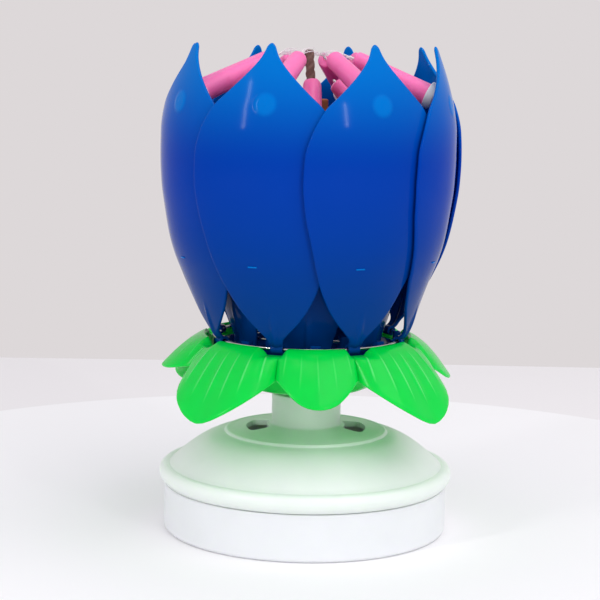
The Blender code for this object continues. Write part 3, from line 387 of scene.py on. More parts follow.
def finish(name, values, size, height, colour=None, spread=0.0, detail=3.0, stretch=(1, 1, 1), paint=None):
    """The material of a name, made once: constants on its shader's own sockets and a grain over them.

    The grain is noise on object coordinates of a size in mm, which lifts the surface by a height in mm and
    shades the colour by a spread. paint may then lead the mesh's share to the base colour's socket.
    """
    material = bpy.data.materials.get(name)
    if material:
        return material
    material = bpy.data.materials.new(name)
    material.use_nodes = True
    tree = material.node_tree
    shader = tree.nodes["Principled BSDF"]
    for key, value in values.items():
        shader.inputs[key].default_value = value
    where = add_node(tree, "ShaderNodeTexCoord")
    mapped = add_node(tree, "ShaderNodeMapping", {}, {"Vector": where.outputs["Object"], "Scale": stretch})
    noise = add_node(tree, "ShaderNodeTexNoise", {}, {
        "Vector": mapped.outputs["Vector"], "Scale": 1 / (size * MM), "Detail": detail})
    bump = add_node(tree, "ShaderNodeBump", {}, {
        "Height": noise.outputs["Fac"], "Strength": 1.0, "Distance": height * MM})
    tree.links.new(bump.outputs["Normal"], shader.inputs["Normal"])
    if colour is not None:
        dark, light = [(*(min(1, c * (1 + change)) for c in colour), 1) for change in (-spread, spread)]
        mix = add_node(tree, "ShaderNodeMix", {"data_type": "RGBA"}, {
            0: noise.outputs["Fac"], 6: dark, 7: light})
        tree.links.new(mix.outputs[2], shader.inputs["Base Color"])
    if paint:
        share = add_node(tree, "ShaderNodeAttribute", {"attribute_name": "share"})
        paint(tree, share.outputs["Fac"], shader.inputs["Base Color"])
    return material


def white_abs(name, colour):
    """Injection-moulded white ABS, a little translucent: soft gloss, and faint mottling from the flow."""
    return finish(name, {
        "Roughness": 0.36, "IOR": 1.53, "Subsurface Weight": 0.5, "Subsurface Scale": 3 * MM,
        "Subsurface Radius": (1.0, 1.1, 0.9)},
        size=9.0, height=0.02, colour=colour, spread=0.03, detail=2.0)


def green_polypropylene(colour):
    """Thin moulded polypropylene: glossy and a little translucent, with a painted highlight along its
    raised veins.
    """
    def paint_vein_highlights(tree, share, base):
        # Painted highlight: the raised veins are mixed towards a pale green by their share
        amount = add_node(tree, "ShaderNodeMath", {"operation": "MULTIPLY"}, {0: share, 1: 0.45})
        veined = add_node(tree, "ShaderNodeMix", {"data_type": "RGBA"}, {
            0: amount.outputs["Value"], 6: base.links[0].from_socket, 7: (*linear("#8CF5A6"), 1)})
        tree.links.new(veined.outputs[2], base)

    return finish("moulded_green_polypropylene", {
        "Roughness": 0.2, "IOR": 1.49, "Specular IOR Level": 0.2, "Subsurface Weight": 0.5,
        "Subsurface Scale": 2 * MM, "Subsurface Radius": (0.3, 1.0, 0.4)},
        size=6.0, height=0.03, colour=colour, spread=0.06, detail=2.0, paint=paint_vein_highlights)


def blue_polystyrene(settings):
    """Injection-moulded polystyrene: hard gloss with slow waves; its tips are painted lighter as painted
    light from above and through the thin plastic, and its foot is painted darker as painted shade.
    """
    def paint_lit_tips_shaded_foot(tree, share, base):
        # Painted light and shade: a ramp along the blade from the shaded root colour to the lit tip colour
        ramp = add_node(tree, "ShaderNodeValToRGB", {}, {"Fac": share})
        ramp.color_ramp.interpolation = "EASE"
        ramp.color_ramp.elements[0].color = (*settings.shaded_root_colour, 1)
        ramp.color_ramp.elements[1].color = (*settings.lit_tip_colour, 1)
        ramp.color_ramp.elements.new(0.6).color = (*settings.middle_colour, 1)
        tree.links.new(ramp.outputs["Color"], base)

    return finish("moulded_blue_polystyrene", {"Roughness": 0.11, "IOR": 1.59, "Specular IOR Level": 0.03},
                  size=14.0, height=0.12, detail=1.0, paint=paint_lit_tips_shaded_foot)


def white_polystyrene(colour):
    """Moulded white polystyrene of the candle cups: clean and glossy."""
    return finish("moulded_white_polystyrene", {"Roughness": 0.28, "IOR": 1.59},
                  size=4.0, height=0.01, colour=colour, spread=0.02)


def dyed_wax(colour):
    """Cast dyed paraffin: light spreads under a satin skin with fine bloom."""
    return finish("cast_pink_paraffin", {
        "Roughness": 0.38, "IOR": 1.44, "Subsurface Weight": 0.45, "Subsurface Scale": 2 * MM,
        "Subsurface Radius": (1.0, 0.5, 0.7), "Coat Weight": 0.15, "Coat Roughness": 0.25},
        size=1.6, height=0.05, colour=colour, spread=0.07)


def cotton():
    """Loosely spun white cotton: matt and fuzzy."""
    return finish("spun_white_cotton", {
        "Roughness": 0.9, "IOR": 1.5, "Sheen Weight": 0.4, "Sheen Roughness": 0.5},
        size=0.4, height=0.04, colour=linear("#F3EAEE"), spread=0.05)


def fuse_paper():
    """Dark brown paper twisted round its powder: dry, creased along the twist and flecked."""
    return finish("twisted_brown_paper", {"Roughness": 0.85, "IOR": 1.5}, size=0.7, height=0.16,
                  colour=linear("#785A52"), spread=0.45, detail=6.0, stretch=(1, 1, 0.45))


def kraft_paper():
    """Kraft paper wound into a tube: matt tan with long fibres."""
    return finish("wound_kraft_paper", {"Roughness": 0.78, "IOR": 1.5}, size=1.2, height=0.04,
                  colour=linear("#A8623C"), spread=0.2, detail=6.0, stretch=(1, 1, 3))


def steel_wire():
    """Drawn and plated steel: bright, with faint lines along the draw."""
    return finish("drawn_plated_steel", {"Metallic": 1.0, "Roughness": 0.24},
                  size=0.6, height=0.01, colour=linear("#C9CACC"), spread=0.08, detail=5.0)


def acetal():
    """Moulded natural acetal of the gears: milky, with a greasy half gloss."""
    return finish("moulded_natural_acetal", {
        "Roughness": 0.42, "IOR": 1.48, "Subsurface Weight": 0.2, "Subsurface Scale": 1.5 * MM},
        size=3.0, height=0.02, colour=linear("#E6E6DF"), spread=0.03)


def lacquered_board():
    """Glass-fibre board under green lacquer: a fine weave below half gloss."""
    return finish("lacquered_glass_fibre", {"Roughness": 0.4, "IOR": 1.5},
                  size=0.5, height=0.02, colour=linear("#1E6B3C"), spread=0.15)


def foil_jacket():
    """Plain shrink foil round the cell: half-gloss grey with slight ripples."""
    return finish("shrink_foil_jacket", {"Metallic": 0.5, "Roughness": 0.32},
                  size=5.0, height=0.03, colour=linear("#6E7078"), spread=0.05)


# The music base


def dome_line(share, inset=0.0):
    """Radius and level on the dome: r grows 16 mm from the disc's edge, and z falls 9.3 mm as share^1.7."""
    share = np.asarray(share, float)
    radius = DISC_RADIUS + 16.0 * MM * share
    level = DISC_EDGE_LEVEL - 9.3 * MM * share ** 1.7
    return np.column_stack((radius - inset / 2, level - inset))


def slot_cutter(side):
    """A rounded rectangle bent about the neck, (r cos a, r sin a), and carried through the disc."""
    half = np.array((3.1, 6.6)) * MM
    middle = 14.6 * MM
    corners = np.array([
        (-1, -1), (1, -1), (1, -0.4), (1, 0), (1, 0.4), (1, 1), (-1, 1), (-1, 0.4), (-1, 0), (-1, -0.4)])
    outline = rounded(corners * half, 1.6 * MM, steps=7, closed=True)
    angle = outline[:, 1:] / middle
    outline = side * (middle + outline[:, :1]) * np.hstack((np.cos(angle), np.sin(angle)))
    return prism(outline, DISC_LEVEL + np.array((-4, 2)) * MM, (side * middle, 0))


def cover_profile(wall, lip):
    """The dome's closed section, from the neck's top down outside to the bead's foot and back up inside."""
    neck = 10.2 * MM
    edge = DISC_LEVEL - 1.4 * MM
    outer = rounded([
        (SPINDLE_BORE, NECK_LEVEL), (neck, NECK_LEVEL), (neck, DISC_LEVEL),
        (DISC_RADIUS - 1.8 * lip, edge - 0.1 * MM), (DISC_RADIUS - 1.2 * lip, edge),
        (DISC_RADIUS - 0.5 * lip, edge), (DISC_RADIUS, edge - 0.6 * lip),
        (DISC_RADIUS + 0.1 * MM, DISC_EDGE_LEVEL + 0.1 * MM), tuple(dome_line([0.06])[0]),
    ], np.array((0.5, 0.7, 0.3, 0.3, 0.4, 0.4, 0.4)) * MM)
    slope = dome_line(np.linspace(0.1, 0.97, 26))
    bead = np.array([
        (40.35, 19.16), (41.2, 19.26), (42.2, 19.02), (42.95, 18.35), (43.28, 17.4), (43.28, 16.5),
        (43.0, 15.6), (42.5, 14.95), (41.95, 14.5), (41.8, 14.15), (41.65, 14.0), (40.0, 14.0)]) * MM
    under = dome_line(np.linspace(1.0, 0.0, 12), wall)
    inner = np.array([
        (DISC_RADIUS - wall, edge - wall), (neck - wall, DISC_LEVEL - wall),
        (neck - wall, NECK_LEVEL - wall), (SPINDLE_BORE, NECK_LEVEL - wall)])
    return np.vstack((outer, slope, bead, under, inner))


def drum_surface():
    """The drum as a section turned about Z: floor, wall with a rounded foot, and a chamfered rim."""
    wall, floor, rim, foot = 1.8 * MM, 2.0 * MM, 13.7 * MM, 0.8 * MM
    inner = HOUSING_RADIUS - wall
    outer = rounded([
        (0, 0), (HOUSING_RADIUS - foot, 0), (HOUSING_RADIUS, foot), (HOUSING_RADIUS, rim - 0.3 * MM),
        (HOUSING_RADIUS - 0.25 * MM, rim), (inner, rim)], np.array((0.3, 0.4, 0.15, 0.1)) * MM)
    return lathe(np.vstack((outer, [(inner, floor), (0, floor)])))


def stand_surfaces():
    """What stands on the drum's floor: the spindle's bearing, screw pillars, bay ends and board posts."""
    stands = [sleeve(2.3, 3.9, 1.5, 7, 48)]
    for side in (-1, 1):
        stands.append(moved(sleeve(1.5, 2.8, 1.5, 11, 32), 0, (side * SCREW_RADIUS, 0, 0)))
        stands.append(box((1.4 * MM, 14.5 * MM, 10.5 * MM), (side * 27.35 * MM, BAY_OFFSET, 6.75 * MM)))
        stands.append(moved(sleeve(0, 1.5, 1.5, 4, 24), 0, ((22 + side * 4.25) * MM, -13 * MM, 0)))
    return stands


class LOTUS_OT_music_base(Operator):
    """Build the drum and the dome of the music base"""
    bl_idname = "lotus.music_base"
    bl_label = "Music Base"

    def execute(self, context):
        settings = context.scene.lotus_base
        plastic = white_abs("moulded_white_abs_drum", settings.drum_colour)
        housing = add_piece(
            "housing_drum", [drum_surface()], plastic, "root", ["bottom_housing"])
        opening = box((48.0 * MM, 13.0 * MM, 6 * MM), (0, BAY_OFFSET, 1 * MM))
        seats = [moved(sleeve(0, 2.5, -1, 1.9, 40), 0, (side * SCREW_RADIUS, 0, 0)) for side in (-1, 1)]
        cut(housing, [opening, *seats])
        add_piece("housing_stands", stand_surfaces(), plastic, "root", [])
        dome = lathe(cover_profile(settings.wall, settings.lip), 192, True)
        # The dome's white carries a painted green reflection of the leaves
        plastic = white_abs("moulded_white_abs_dome", settings.dome_colour)
        cover = add_piece("dome_cover", [dome], plastic, "root", ["top_cover"])
        cut(cover, [slot_cutter(-1), slot_cutter(1)])
        return {"FINISHED"}


# The leaf collar

# The two kinds of leaf, in millimetres and degrees
SMALL_LEAF = SimpleNamespace(
    azimuth=4.6, half_angle=19.0, reach=12.3, drop=14.3, reach_form=(1.3, 0.5), drop_form=(2.2, 1.8),
    softness=0.05, veins=5, vein_weight=0.35)
LARGE_LEAF = SimpleNamespace(
    azimuth=49.6, half_angle=26.0, reach=16.8, drop=19.9, reach_form=(2.3, 0.8), drop_form=(1.14, 0.95),
    softness=0.12, veins=7, vein_weight=1.0)
# How far each small leaf droops, as a share of its drop, from the front one anticlockwise seen from above
DROOP = (1.0, 0.88, 1.0, 0.66)
GAP_REACH, GAP_DROP = 2.6, 7.7
VEIN_SPAN, VEIN_HALF_WIDTH, VEIN_RADIUS = 0.78, 0.35, 40.0


def leaf_grid():
    """Azimuths of the collar's lines, and at each the reach, drop and vein weight of the sheet.

    With s = (hypot(x, soft) - soft) / (hypot(1, soft) - soft) at x from a leaf's middle to its edge, both
    reach and drop go from the leaf's to the gap's as (1 - s^a)^b.
    """
    parts = []
    for quarter, droop in enumerate(DROOP):
        for leaf in (SMALL_LEAF, LARGE_LEAF):
            veins = np.linspace(-VEIN_SPAN, VEIN_SPAN, leaf.veins)
            width = VEIN_HALF_WIDTH / (math.radians(leaf.half_angle) * VEIN_RADIUS)
            offsets = np.unique(np.concatenate((
                np.sin(np.linspace(-1, 1, 29)[:-1] * np.pi / 2),
                (veins[:, None] + width * np.array((-1, -0.35, 0.35, 1))).ravel())))
            soft = leaf.softness
            side = (np.hypot(offsets, soft) - soft) / (math.hypot(1, soft) - soft)
            out, down = [(1 - side ** a) ** b for a, b in (leaf.reach_form, leaf.drop_form)]
            drop = leaf.drop * (droop if leaf is SMALL_LEAF else 1)
            near = np.abs(offsets[:, None] - veins).min(axis=1)
            parts.append(np.column_stack((
                leaf.azimuth + quarter * 90 + leaf.half_angle * offsets,
                (GAP_REACH + (leaf.reach - GAP_REACH) * out) * MM,
                (GAP_DROP + (drop - GAP_DROP) * down) * MM,
                leaf.vein_weight * np.clip(1 - near / width, 0, 1))))
    return np.vstack(parts).T


def collar_middle(run, azimuth, reach, drop):
    """The sheet's middle: up the cup for run 0 to 1, then out by reach s and down by drop s^1.45.

    The rim dips in a notch at each outer petal's stem.
    """
    cup = rounded(np.array([(3.4, 42.55), (18.5, 42.55), (25.2, 50.1), (29.6, 55.3), (30.4, 57.6)]) * MM,
                  np.array((4, 3, 2)) * MM, steps=9)
    length = np.concatenate(([0], np.cumsum(np.linalg.norm(np.diff(cup, axis=0), axis=1))))
    length /= length[-1]
    up = np.clip(run, 0, 1)
    out = np.clip(run - 1, 0, 1)
    radius = np.interp(up, length, cup[:, 0]) + reach * out
    level = np.interp(up, length, cup[:, 1]) - drop * out ** 1.45
    pitch = 360 / OUTER.count
    from_stem = np.abs((azimuth - OUTER.azimuth + pitch / 2) % pitch - pitch / 2)
    notch_sides, notch_foot, notch_floor = (4.0, 8.0), (0.85, 0.95), RIM_LEVEL - 2.3 * MM
    notch = (1 - smoothstep(from_stem, *notch_sides)) * smoothstep(run, *notch_foot)
    level = level - notch * np.maximum(0, level - notch_floor)
    return facing(radius, azimuth, level)


def collar_surface(wall, vein_height):
    """The sheet's middle moved half its wall along the normal both ways, with a round edge and veins."""
    azimuth, reach, drop, vein = leaf_grid()
    edge = np.array((0, 0.004, 0.013, 0.03, 0.055))
    run = np.concatenate((
        edge * 0.5, np.linspace(0.06, 0.9, 20), np.linspace(0.92, 1.12, 15),
        np.linspace(1.15, 1.92, 26), 2 - edge[::-1]))[:, None]
    step, turn, rounding, vein_start, vein_end = 0.001, 0.04, 0.04, (1.15, 1.4), (1.6, 1.84)
    middle, further, back = [
        collar_middle(run + change, azimuth, reach, drop) for change in (0, step, -step)]
    sides = [collar_middle(run, azimuth + change, *(
        np.interp(azimuth + change, azimuth, values, period=360) for values in (reach, drop)))
        for change in (turn, -turn)]
    normal = unit(np.cross(sides[0] - sides[1], further - back))
    closing = ((np.abs(run - 1) - (1 - rounding)) / rounding).clip(0)
    half = wall / 2 * np.sqrt(np.clip(1 - closing ** 2, 0, 1))
    raised = vein * smoothstep(run, *vein_start) * (1 - smoothstep(run, *vein_end))
    under = middle + normal * half[..., None]
    top = (middle - normal * (half + vein_height * raised)[..., None])[-2:0:-1]
    # The top side's share marks the veins for their painted highlight
    share = np.concatenate((np.zeros(raised.shape), raised[-2:0:-1]))
    return loft(np.concatenate((under, top)), loop=True, share=share)


class LOTUS_OT_leaf_collar(Operator):
    """Build the green cup with its four small and four large drooping leaves"""
    bl_idname = "lotus.leaf_collar"
    bl_label = "Leaf Collar"

    def execute(self, context):
        settings = context.scene.lotus_collar
        add_piece("leaf_collar", [collar_surface(settings.wall, settings.vein)],
                  green_polypropylene(settings.colour), "flower", ["calyx"])
        return {"FINISHED"}


# The petals

# The two rows, in metres and degrees, each with its bulge and width as shares along the blade
UPPER_BULGE = (
    (0.435, 0.901), (0.537, 0.979), (0.627, 1.0), (0.712, 0.993), (0.793, 0.93), (0.863, 0.831),
    (0.928, 0.718), (1.0, 0.592))
OUTER = SimpleNamespace(
    name="outer", count=8, azimuth=-17.8, hinge_radius=27.6 * MM, hinge_level=57.4 * MM,
    bulge_radius=42.25 * MM, tip_level=142.2 * MM, half_width=22.1 * MM, edge_shift=0.85 * MM,
    bulge=((0.011, 0.035), (0.025, 0.12), (0.081, 0.261), (0.13, 0.359), (0.214, 0.542), (0.284, 0.704),
           (0.347, 0.81)) + UPPER_BULGE,
    width=((0.011, 0.09), (0.032, 0.104), (0.056, 0.18), (0.091, 0.31), (0.143, 0.466), (0.25, 0.688),
           (0.382, 0.864), (0.476, 0.959), (0.567, 1.0), (0.645, 0.986), (0.703, 0.925), (0.79, 0.735),
           (0.843, 0.515), (0.891, 0.32), (0.931, 0.178), (0.96, 0.1), (1.0, 0.036)),
    boss_share=0.805, boss_length=4.4 * MM, lug_level=54.6 * MM, lug_setback=1.1 * MM,
    candle_rise=24.0, candle_length=25.0 * MM, wick_length=2.0 * MM)
INNER = SimpleNamespace(
    name="inner", count=6, azimuth=0.0, hinge_radius=20.5 * MM, hinge_level=58.6 * MM,
    bulge_radius=30.0 * MM, tip_level=127.2 * MM, half_width=16.5 * MM, edge_shift=0.9 * MM,
    bulge=((-0.03, 0.1), (0.0, 0.14), (0.05, 0.26), (0.12, 0.43), (0.21, 0.6),
           (0.35, 0.82)) + UPPER_BULGE,
    width=((-0.03, 0.4), (0.0, 0.43), (0.05, 0.5), (0.12, 0.6), (0.25, 0.78), (0.4, 0.93),
           (0.55, 1.0), (0.645, 0.986), (0.703, 0.919), (0.79, 0.679), (0.843, 0.462), (0.891, 0.299),
           (0.931, 0.172), (0.96, 0.1), (1.0, 0.045)),
    boss_share=0.774, boss_length=6.4 * MM, lug_level=54.95 * MM, lug_setback=0.0,
    candle_rise=42.5, candle_length=21.0 * MM, wick_length=1.4 * MM)


def places(row):
    """The number of each petal in a row, from 1, with its azimuth."""
    return [(index + 1, row.azimuth + 360 * index / row.count) for index in range(row.count)]


def petal_middle(row, share, across=0.0, rib=0.0):
    """The petal's middle surface at azimuth 0: (r sin a, -r cos a, z), with a = across x half width / r.

    r follows the bulge table, less a shift that grows with a, so that each left edge lies outside its
    neighbour, and a rib stands out along the middle of the stem.
    """
    rib_width, rib_end, shift_end = 0.75 * MM, (0.06, 0.15), 0.2
    width = row.half_width * smooth_table(row.width, share)
    bulge = smooth_table(row.bulge, share)
    radius = row.hinge_radius + (row.bulge_radius - row.hinge_radius) * bulge
    level = row.hinge_level + (row.tip_level - row.hinge_level) * share
    angle = across * width / radius
    ridge = np.exp(-(across * width / rib_width) ** 2) * (1 - smoothstep(share, *rib_end))
    shift = row.edge_shift * np.clip(share / shift_end, 0, 1) * angle * row.count / math.pi
    radius = radius + rib * ridge - shift
    return np.stack((radius * np.sin(angle), -radius * np.cos(angle), level + 0 * angle), axis=-1)


def petal_surface(row, wall, rib):
    """The petal's middle moved half its wall along the normal both ways, with round edges and a boss pad.

    The share along the blade goes to the material's painted light and shade, and is raised on the pad,
    which is painted lighter as a painted glow where more light passes.
    """
    first, last, rounding = row.width[0][0], 0.9985, 0.015
    pad_rise, pip_rise, pip_radius, pad_glow_share = 0.2 * MM, 0.1 * MM, 0.35 * MM, 0.15
    run = (1 - np.cos(np.pi * np.linspace(0, 1, 90))) / 2
    near = row.boss_share + np.linspace(-1, 1, 21) * 4.2 * MM / (row.tip_level - row.hinge_level)
    share = np.unique(np.concatenate((first + (last - first) * run, near)))[:, None]
    columns = np.sin(np.pi / 2 * np.linspace(-1, 1, 41))
    across = np.unique(np.concatenate((columns, np.linspace(-0.26, 0.26, 25))))
    closing = np.sqrt(np.clip(1 - ((share - 1 + rounding) / rounding).clip(0) ** 2, 0, 1))
    step = 1e-4
    spread = across * closing
    middle = petal_middle(row, share, spread, rib)
    along = petal_middle(row, share + step, spread, rib) - petal_middle(row, share - step, spread, rib)
    aside = petal_middle(row, share, spread + step, rib) - petal_middle(row, share, spread - step, rib)
    normal = unit(np.cross(aside, along))
    width = row.half_width * smooth_table(row.width, share)
    inset = np.clip((np.abs(across) * width - width + wall / 2) / (wall / 2), 0, 1)
    half = wall / 2 * np.sqrt(1 - inset ** 2) * closing
    away = np.linalg.norm(middle - petal_middle(row, row.boss_share), axis=2)
    swell = 1 - smoothstep(away, BOSS_RADIUS - 1.2 * MM, BOSS_RADIUS + 0.5 * MM)
    pad = pad_rise * swell + pip_rise * np.exp(-(away / pip_radius) ** 2)
    outer = middle + normal * (half + pad)[..., None]
    inner = (middle - normal * half[..., None])[:, -2:0:-1]
    rings = np.concatenate((outer, inner), axis=1)
    passed = np.broadcast_to(share, rings.shape[:2]).copy()
    # Painted light: the share is raised on the pad so that it takes a lighter blue
    passed[:, :swell.shape[1]] += pad_glow_share * swell
    return loft(rings, rings[0].mean(axis=0), petal_middle(row, 1.0), share=passed)


def candle_line(row):
    """Where the boss's seat is at azimuth 0 and which way the candle points."""
    rise = math.radians(row.candle_rise)
    return petal_middle(row, row.boss_share), np.array((0, math.cos(rise), math.sin(rise)))


def boss_surface(row):
    """A round post whose rings go from one in the petal's wall to one square to the candle."""
    seat, direction = candle_line(row)
    step = 0.02
    along = unit(petal_middle(row, row.boss_share + step) - petal_middle(row, row.boss_share - step))
    upward = np.array((0, -direction[2], direction[1]))
    turn = once_round(40)[:, None]
    flat = np.cos(turn) * np.array((1, 0, 0))
    foot = seat + BOSS_RADIUS * (flat + np.sin(turn) * along)
    top = seat + direction * row.boss_length + BOSS_RADIUS * (flat + np.sin(turn) * upward)
    mix = np.linspace(0, 1, 8)[:, None, None]
    return loft(foot * (1 - mix) + top * mix, foot.mean(axis=0), top.mean(axis=0), share=row.boss_share)


def nib_surface(row):
    """The short raised line that the mould leaves low on a petal's outside, a box laid along the wall."""
    share, step = 0.285, 0.02
    across = -4.0 * MM / (row.half_width * smooth_table(row.width, share))
    place = petal_middle(row, share, across)
    side = unit(petal_middle(row, share, across + step) - place)
    away = unit(np.cross(side, petal_middle(row, share + step, across) - place))
    bar = box((2.6 * MM, 1.5 * MM, 0.35 * MM), (0, 0, 0), 0.1 * MM)
    axes = np.array((side, away, np.cross(side, away)))
    # Painted highlight: a share of 1 paints the nib in the lit tip colour, a painted glint along it
    return bar._replace(points=bar.points @ axes + place, share=np.ones(len(bar.points)))


def eye_surface(row):
    """The barrel round the hinge wire: a ring section turned about the hinge line."""
    ring = rounded(np.array([(0.72, -1.8), (1.45, -1.8), (1.45, 1.8), (0.72, 1.8)]) * MM, 0.2 * MM, 4, True)
    barrel = lathe(ring, 32, True)
    hinge = (0, -row.hinge_radius, row.hinge_level)
    return outward(barrel._replace(points=barrel.points[:, [2, 0, 1]] + hinge))


class LOTUS_OT_petals(Operator):
    """Build the eight outer and six inner petals with their stems, eyes and bosses"""
    bl_idname = "lotus.petals"
    bl_label = "Petals"

    def execute(self, context):
        settings = context.scene.lotus_petals
        plastic = blue_polystyrene(settings)
        for row in (OUTER, INNER):
            blade = petal_surface(row, settings.wall, settings.rib)
            surfaces = [blade, boss_surface(row), eye_surface(row)]
            if row is OUTER:
                surfaces.append(nib_surface(row))
            for number, azimuth in places(row):
                node = f"{row.name}_petal_{number}"
                add_piece(f"petal_{row.name}_{number}", [moved(surface, azimuth) for surface in surfaces],
                          plastic, node, [node], sharp=50.0)
        return {"FINISHED"}


# The candles


def cup_surface():
    """A flared cup with a rounded lip, turned about the candle's line."""
    corners = np.array([(0, 0), (3.45, 0), (4.1, 2.4), (3.5, 2.4), (3.45, 0.9), (0, 0.9)]) * MM
    return lathe(rounded(corners, np.array((0.4, 0.25, 0.25, 0.1)) * MM), 64)


def wax_surface(length):
    """A tapered stick with a soft shoulder and a shallow well round the wick."""
    foot = np.array([(0, 0), (3.15, 0), (3.2, 0.6)]) * MM
    top = np.array([(2.6, -0.9), (2.3, -0.15), (1.1, 0), (0.55, -0.35), (0, -0.4)]) * MM
    corners = np.vstack((foot, top + (0, length)))
    return lathe(rounded(corners, np.array((0.3, 0.5, 0.9, 0.6, 0.5, 0.2)) * MM, steps=7), 64)


def strands(start, finish, count, radius, rng):
    """Thin strands from start to finish, each bent through its own middle and frayed apart at its end."""
    spread, rise = 1.2 * MM, np.array((0, 0, 1.5)) * MM
    t = np.linspace(0, 1, 14)[:, None]
    made = []
    for _ in range(count):
        end = finish + rng.normal(0, 1, 3) * spread * np.array((1, 1, 0.45))
        middle = (start + end) / 2 + rng.normal(0, 1, 3) * spread * 0.5 + rise
        path = (1 - t) ** 2 * start + 2 * t * (1 - t) * middle + t ** 2 * end
        path[:, 2] = np.minimum(path[:, 2], HIGHEST_THREAD)
        made.append(tube(path, radius * rng.uniform(0.8, 1.2), sides=6, taper=0.45))
    return made


class LOTUS_OT_candles(Operator):
    """Build the candles in their cups, with spun wicks that fray towards the fuse"""
    bl_idname = "lotus.candles"
    bl_label = "Candles"

    def execute(self, context):
        settings = context.scene.lotus_candles
        wax = dyed_wax(settings.wax_colour)
        plastic = white_polystyrene(settings.cup_colour)
        thread = cotton()
        cup_rise, wax_rise, wick_depth = 0.3 * MM, 1.5 * MM, 0.6 * MM
        rng = np.random.default_rng(7)
        for row in (OUTER, INNER):
            seat, direction = candle_line(row)
            base = seat + direction * (row.boss_length + wax_rise)
            tip = base + direction * row.candle_length
            cup = leaned(cup_surface(), direction, seat + direction * (row.boss_length + cup_rise))
            stick = leaned(wax_surface(row.candle_length), direction, base)
            for number, azimuth in places(row):
                body = f"{row.name}_petal_{number}"
                add_piece(f"cup_{row.name}_{number}", [moved(cup, azimuth)], plastic, body,
                          [f"{row.name}_cup_{number}"])
                add_piece(f"candle_{row.name}_{number}", [moved(stick, azimuth)], wax, body,
                          [f"{row.name}_candle_{number}"])
                start = turned(tip - direction * wick_depth, azimuth)
                end = turned(tip + direction * row.wick_length, azimuth)
                line = start + (end - start) * np.linspace(0, 1, 9)[:, None]
                wick = [tube(line, 0.42 * MM, sides=12, twist=1.5, lobes=0.25)]
                goal = facing(4.5 * MM, azimuth + rng.uniform(-40, 40), rng.uniform(137.5, 140.5) * MM)
                if row is OUTER:
                    wick += strands(end, goal, 14, settings.thread, rng)
                add_piece(f"wick_{row.name}_{number}", wick, thread, body)
        return {"FINISHED"}


# The fountain and its fuse


def fuse_surface():
    """A section r (1 - 0.08 (cos 2a + 1) - 0.025 (cos (5a + turn) + 1)), twisted up a leaning line."""
    low, high, lean, turns = 121.0 * MM, 140.8 * MM, -1.0 * MM, 3.5
    up = np.linspace(0, 1, 110)
    path = np.column_stack((lean * np.clip((up - 0.3) / 0.7, 0, None), 0 * up, low + (high - low) * up))
    angle = once_round(40)[None]
    twist = 2 * np.pi * turns * up[:, None]
    size = 1.45 * MM * (1 - 0.08 * (np.cos(2 * angle) + 1) - 0.025 * (np.cos(5 * angle + twist) + 1))
    rings = np.stack((
        path[:, :1] + size * np.cos(angle + twist), size * np.sin(angle + twist),
        path[:, 2:] + 0 * angle), axis=-1)
    return loft(rings, path[0], path[-1] - np.array((0, 0, 0.25 * MM)))


def tube_surface():
    """A wound tube: a section turned about Z whose outside drops 0.12 mm along a helical seam."""
    wall = np.column_stack((np.full(120, 4.8), np.linspace(126.2, 53.8, 120)))
    mouth = rounded([
        (0, 120.7), (1.9, 120.7), (1.9, 126.3), (2.3, 126.7), (4.5, 126.7), (4.8, 126.4),
        (4.8, 53.4), (0, 53.4)], 0.2, steps=3)
    split = np.argmax(mouth[:, 0] > 4.79) + 1
    made = lathe(np.vstack((mouth[:split], wall, mouth[split + 2:])) * MM, 96)
    points = made.points.copy()
    radius = np.hypot(points[:, 0], points[:, 1])
    turn = np.arctan2(points[:, 1], points[:, 0]) / (2 * np.pi)
    pitch, depth, half_width = 16 * MM, 0.12 * MM, 0.03
    phase = (points[:, 2] / pitch - turn) % 1
    seam = depth * np.exp(-((phase - 0.5) / half_width) ** 2) * (radius > 4.7 * MM)
    points[:, :2] *= (1 - seam / np.maximum(radius, 1e-6))[:, None]
    return made._replace(points=points)


class LOTUS_OT_fountain(Operator):
    """Build the paper tube in the middle of the flower and its twisted fuse"""
    bl_idname = "lotus.fountain"
    bl_label = "Fountain"

    def execute(self, context):
        add_piece("wound_tube", [tube_surface()], kraft_paper(), "flower", ["fountain_tube"])
        add_piece("twisted_fuse", [fuse_surface()], fuse_paper(), "flower", ["fuse"],
                  sharp=60.0)
        return {"FINISHED"}


# The tray, the wires and the drive


def hub_surfaces():
    """The tray's closed section turned about Z, with a lug between each pair of petals."""
    section = rounded(np.array([
        (2.3, 53.1), (5.1, 53.1), (5.1, 61.1), (6.4, 61.1), (6.4, 53.1), (19.4, 53.1), (19.4, 55.55),
        (21.6, 55.55), (21.6, 53.1), (25.7, 55.2), (27.0, 55.2), (21.1, 51.8), (4.9, 51.8), (4.9, 43.4),
        (2.3, 43.4)]) * MM, 0.25 * MM, steps=4, closed=True)
    surfaces = [lathe(section, 144, True)]
    for row in (OUTER, INNER):
        high, low = row.hinge_level + 1.2 * MM, row.lug_level
        place = (0, row.lug_setback - row.hinge_radius, (high + low) / 2)
        lug = box((3.0 * MM, 2.2 * MM, high - low), place, 0.5 * MM)
        surfaces += [moved(lug, azimuth + 180 / row.count) for _, azimuth in places(row)]
    return surfaces


def wire_surface(row):
    """A round wire bent into a ring: (R + r cos b) turned about Z, at the hinge's level."""
    angle = once_round(16)
    circle = 0.45 * MM * np.column_stack((np.cos(angle), np.sin(angle)))
    return lathe(circle + (row.hinge_radius, row.hinge_level), 192, True)


